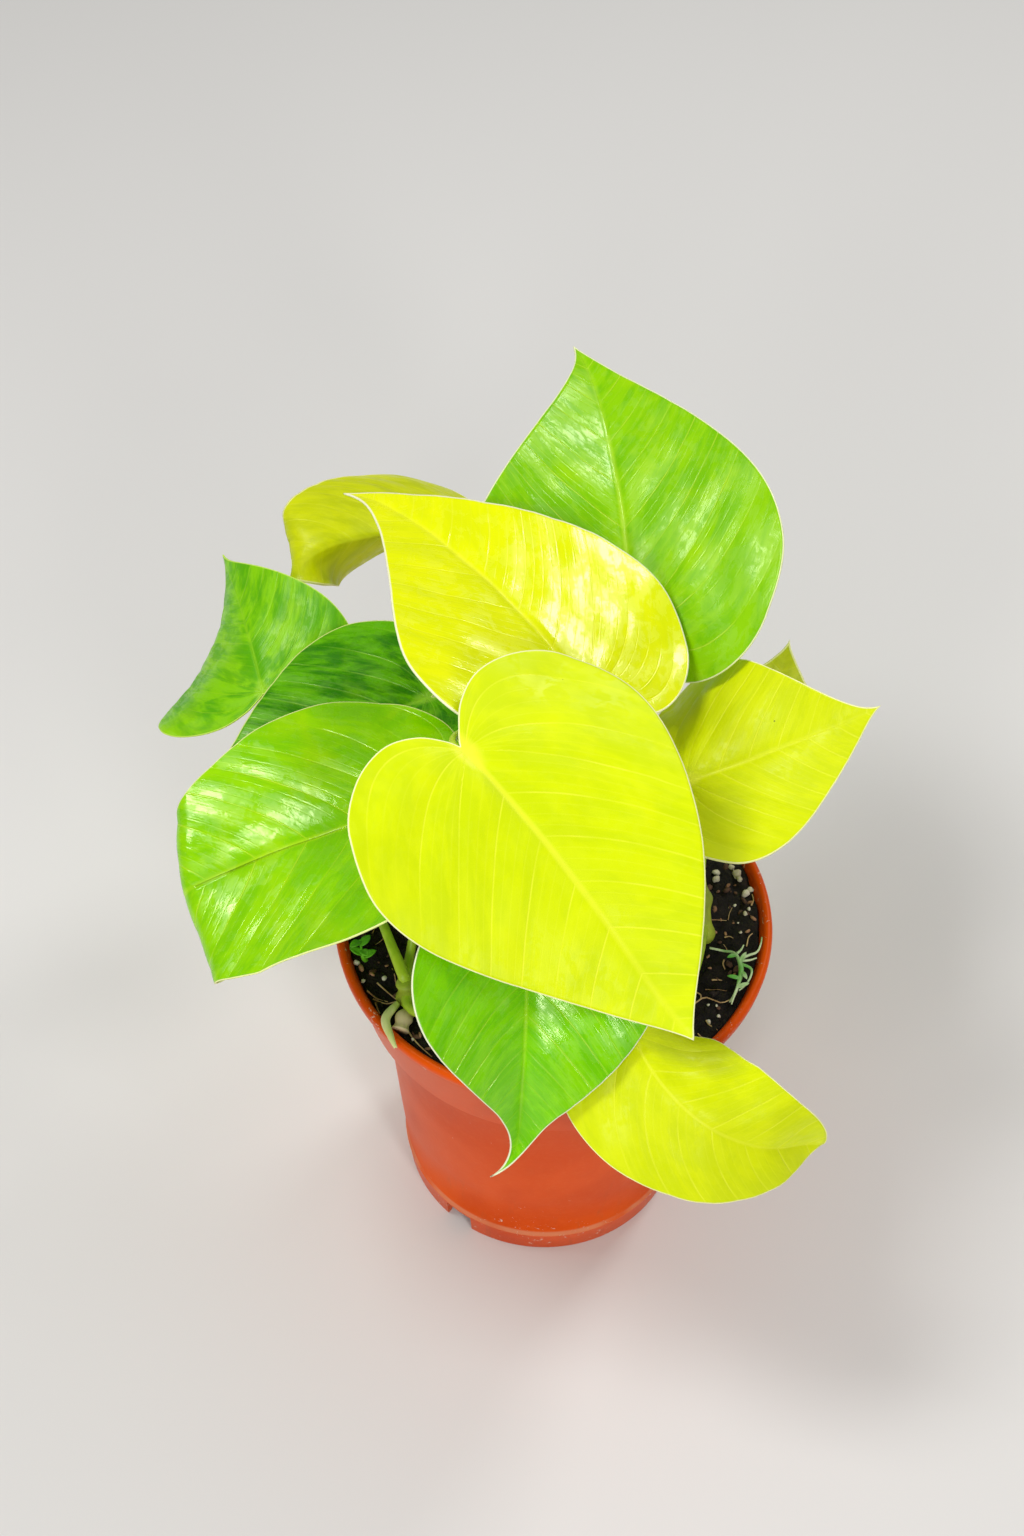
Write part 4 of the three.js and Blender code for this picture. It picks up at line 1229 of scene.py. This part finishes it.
def scattered(count, low, high):
    """Random places, each with a random length in millimetres."""
    grains = []
    for _ in range(count):
        length = rng.uniform(low, high)
        grains.append((*strewn(), length))
    return grains


def lay(bm, grains, shape, seed, finer=1):
    """Adds grains of one shape, each (x, y, length). shape is in lengths."""
    for i, (x, y, length) in enumerate(grains):
        add_grain(bm, x, y, [length * share for share in shape], seed + i, finer)


def finish_bits(name, bm, finish):
    bmesh.ops.recalc_face_normals(bm, faces=bm.faces)
    place_piece(finished(name, bm), stem_finish(*finish), "potting_soil", "soil")


# %% Perlite
perlite = bmesh.new()
lay(perlite, [
    (51.5, 14.7, 1.8), (53.3, 10.6, 2.6), (54.6, 12.1, 2), (52.8, 3.3, 1.6), (53.9, 5.2, 1.3),
    (50.1, 6.8, 1.1), (44.4, -30.2, 1.2), (41.7, -32.3, 1.3), (51, 16.8, 3), (45.2, 17.7, 2.2),
    (45.1, 14.8, 2.2), (49.6, 19.6, 2), (54.6, -20.5, 1.2), (43.9, -27.4, 0.9),
    (-50.9, -22.8, 1.4), (-53.1, -17.2, 1.8), (-36.6, -41.2, 1),
], (1, 0.8, 0.75), 0, finer=2)
lay(perlite, scattered(70, 0.5, 1.7), (1, 0.85, 0.7), 100, finer=2)
bmesh.ops.transform(perlite, matrix=FROM_AXIS, verts=perlite.verts)
finish_bits("soil_perlite", perlite, ("perlite", (226, 222, 200), (176, 168, 140), 0.8))

# %% Dark bark
bark = bmesh.new()
for i in range(330):
    length = rng.uniform(0.7, 3.2)
    x, y = strewn()
    add_grain(bark, x, y, (length, length * rng.uniform(0.35, 0.8), length * 0.4), 300 + i)
bmesh.ops.transform(bark, matrix=FROM_AXIS, verts=bark.verts)
finish_bits("soil_bark", bark, ("bark_chips", (96, 66, 46), (34, 24, 18), 0.75))

# %% Pale chips
chips = bmesh.new()
lay(chips, [
    (48.4, 12.9, 2.6), (44.5, 5.4, 2.8), (46.1, 2.4, 1.8), (49.6, 1.1, 1.6), (44.5, -2.5, 2.2),
    (47.2, -3.1, 1.8), (42, -12, 1.6), (42.5, -15.3, 1.6), (48.9, -17.4, 1.6), (54.5, 8, 2.4),
    (55, 2, 2.4), (53.2, -2.5, 2), (-51.7, -18.6, 3.2), (-48.6, -21.1, 1.8),
    (-34.8, -39.9, 2.2), (-32.5, -43.6, 2), (-43.7, -35, 1.6),
], (1, 0.5, 0.35), 700)
lay(chips, scattered(60, 0.6, 1.8), (1, 0.5, 0.35), 800)
bmesh.ops.transform(chips, matrix=FROM_AXIS, verts=chips.verts)
finish_bits("soil_chips", chips, ("pale_chips", (176, 132, 96), (124, 88, 62), 0.7))

# %% Root threads
ROOT_THICKNESS = 0.26
roots = bmesh.new()
for flat in (
    [(38.1, -26.9), (40.8, -24.9), (43.2, -25.8), (45.3, -26.6), (48.3, -24.9)],
    [(40.9, -32), (41.7, -32.9), (44, -34.4)],
    [(38.6, -36.5), (39.4, -37.4), (40.5, -37.4)],
    [(46.4, -12.5), (46, -14.2), (46.5, -15.8)],
    [(42.9, -18.9), (45.1, -18.8), (46.9, -19.7)],
    [(38.2, -22.7), (39.8, -24.3), (39.5, -25.6)],
    [(52.8, -6.9), (53.5, -4.2), (54.6, -2.8)],
    [(54.6, 6.5), (55.4, 9), (55, 10.7)],
    [(-49.6, -26.7), (-46.8, -28.2), (-43.9, -28.7)],
    [(-47.9, -28.5), (-44.4, -29.4), (-41.2, -28.9)],
    [(-47.1, -23.6), (-44, -26.4), (-41.2, -28.9)],
    [(-47.2, -30.1), (-46, -32.3), (-44.6, -33.6)],
    [(-38, -38.4), (-35.1, -43), (-31.3, -46)],
):
    add_thread(roots, flat, ROOT_THICKNESS)
for i in range(60):
    x, y = strewn(51.0)
    way, far = rng.uniform(0, 6.28), rng.uniform(1.2, 3)
    bend = way + rng.uniform(-0.9, 0.9)
    middle = (x + far * math.cos(way), y + far * math.sin(way))
    end = (middle[0] + far * math.cos(bend), middle[1] + far * math.sin(bend))
    if math.hypot(*end) < 55 and math.hypot(*middle) < 55:
        add_thread(roots, [(x, y), middle, end], rng.uniform(0.1, 0.22))
finish_bits("soil_roots", roots, ("roots", (214, 184, 130), (160, 122, 78), 0.6))

# %% Finish
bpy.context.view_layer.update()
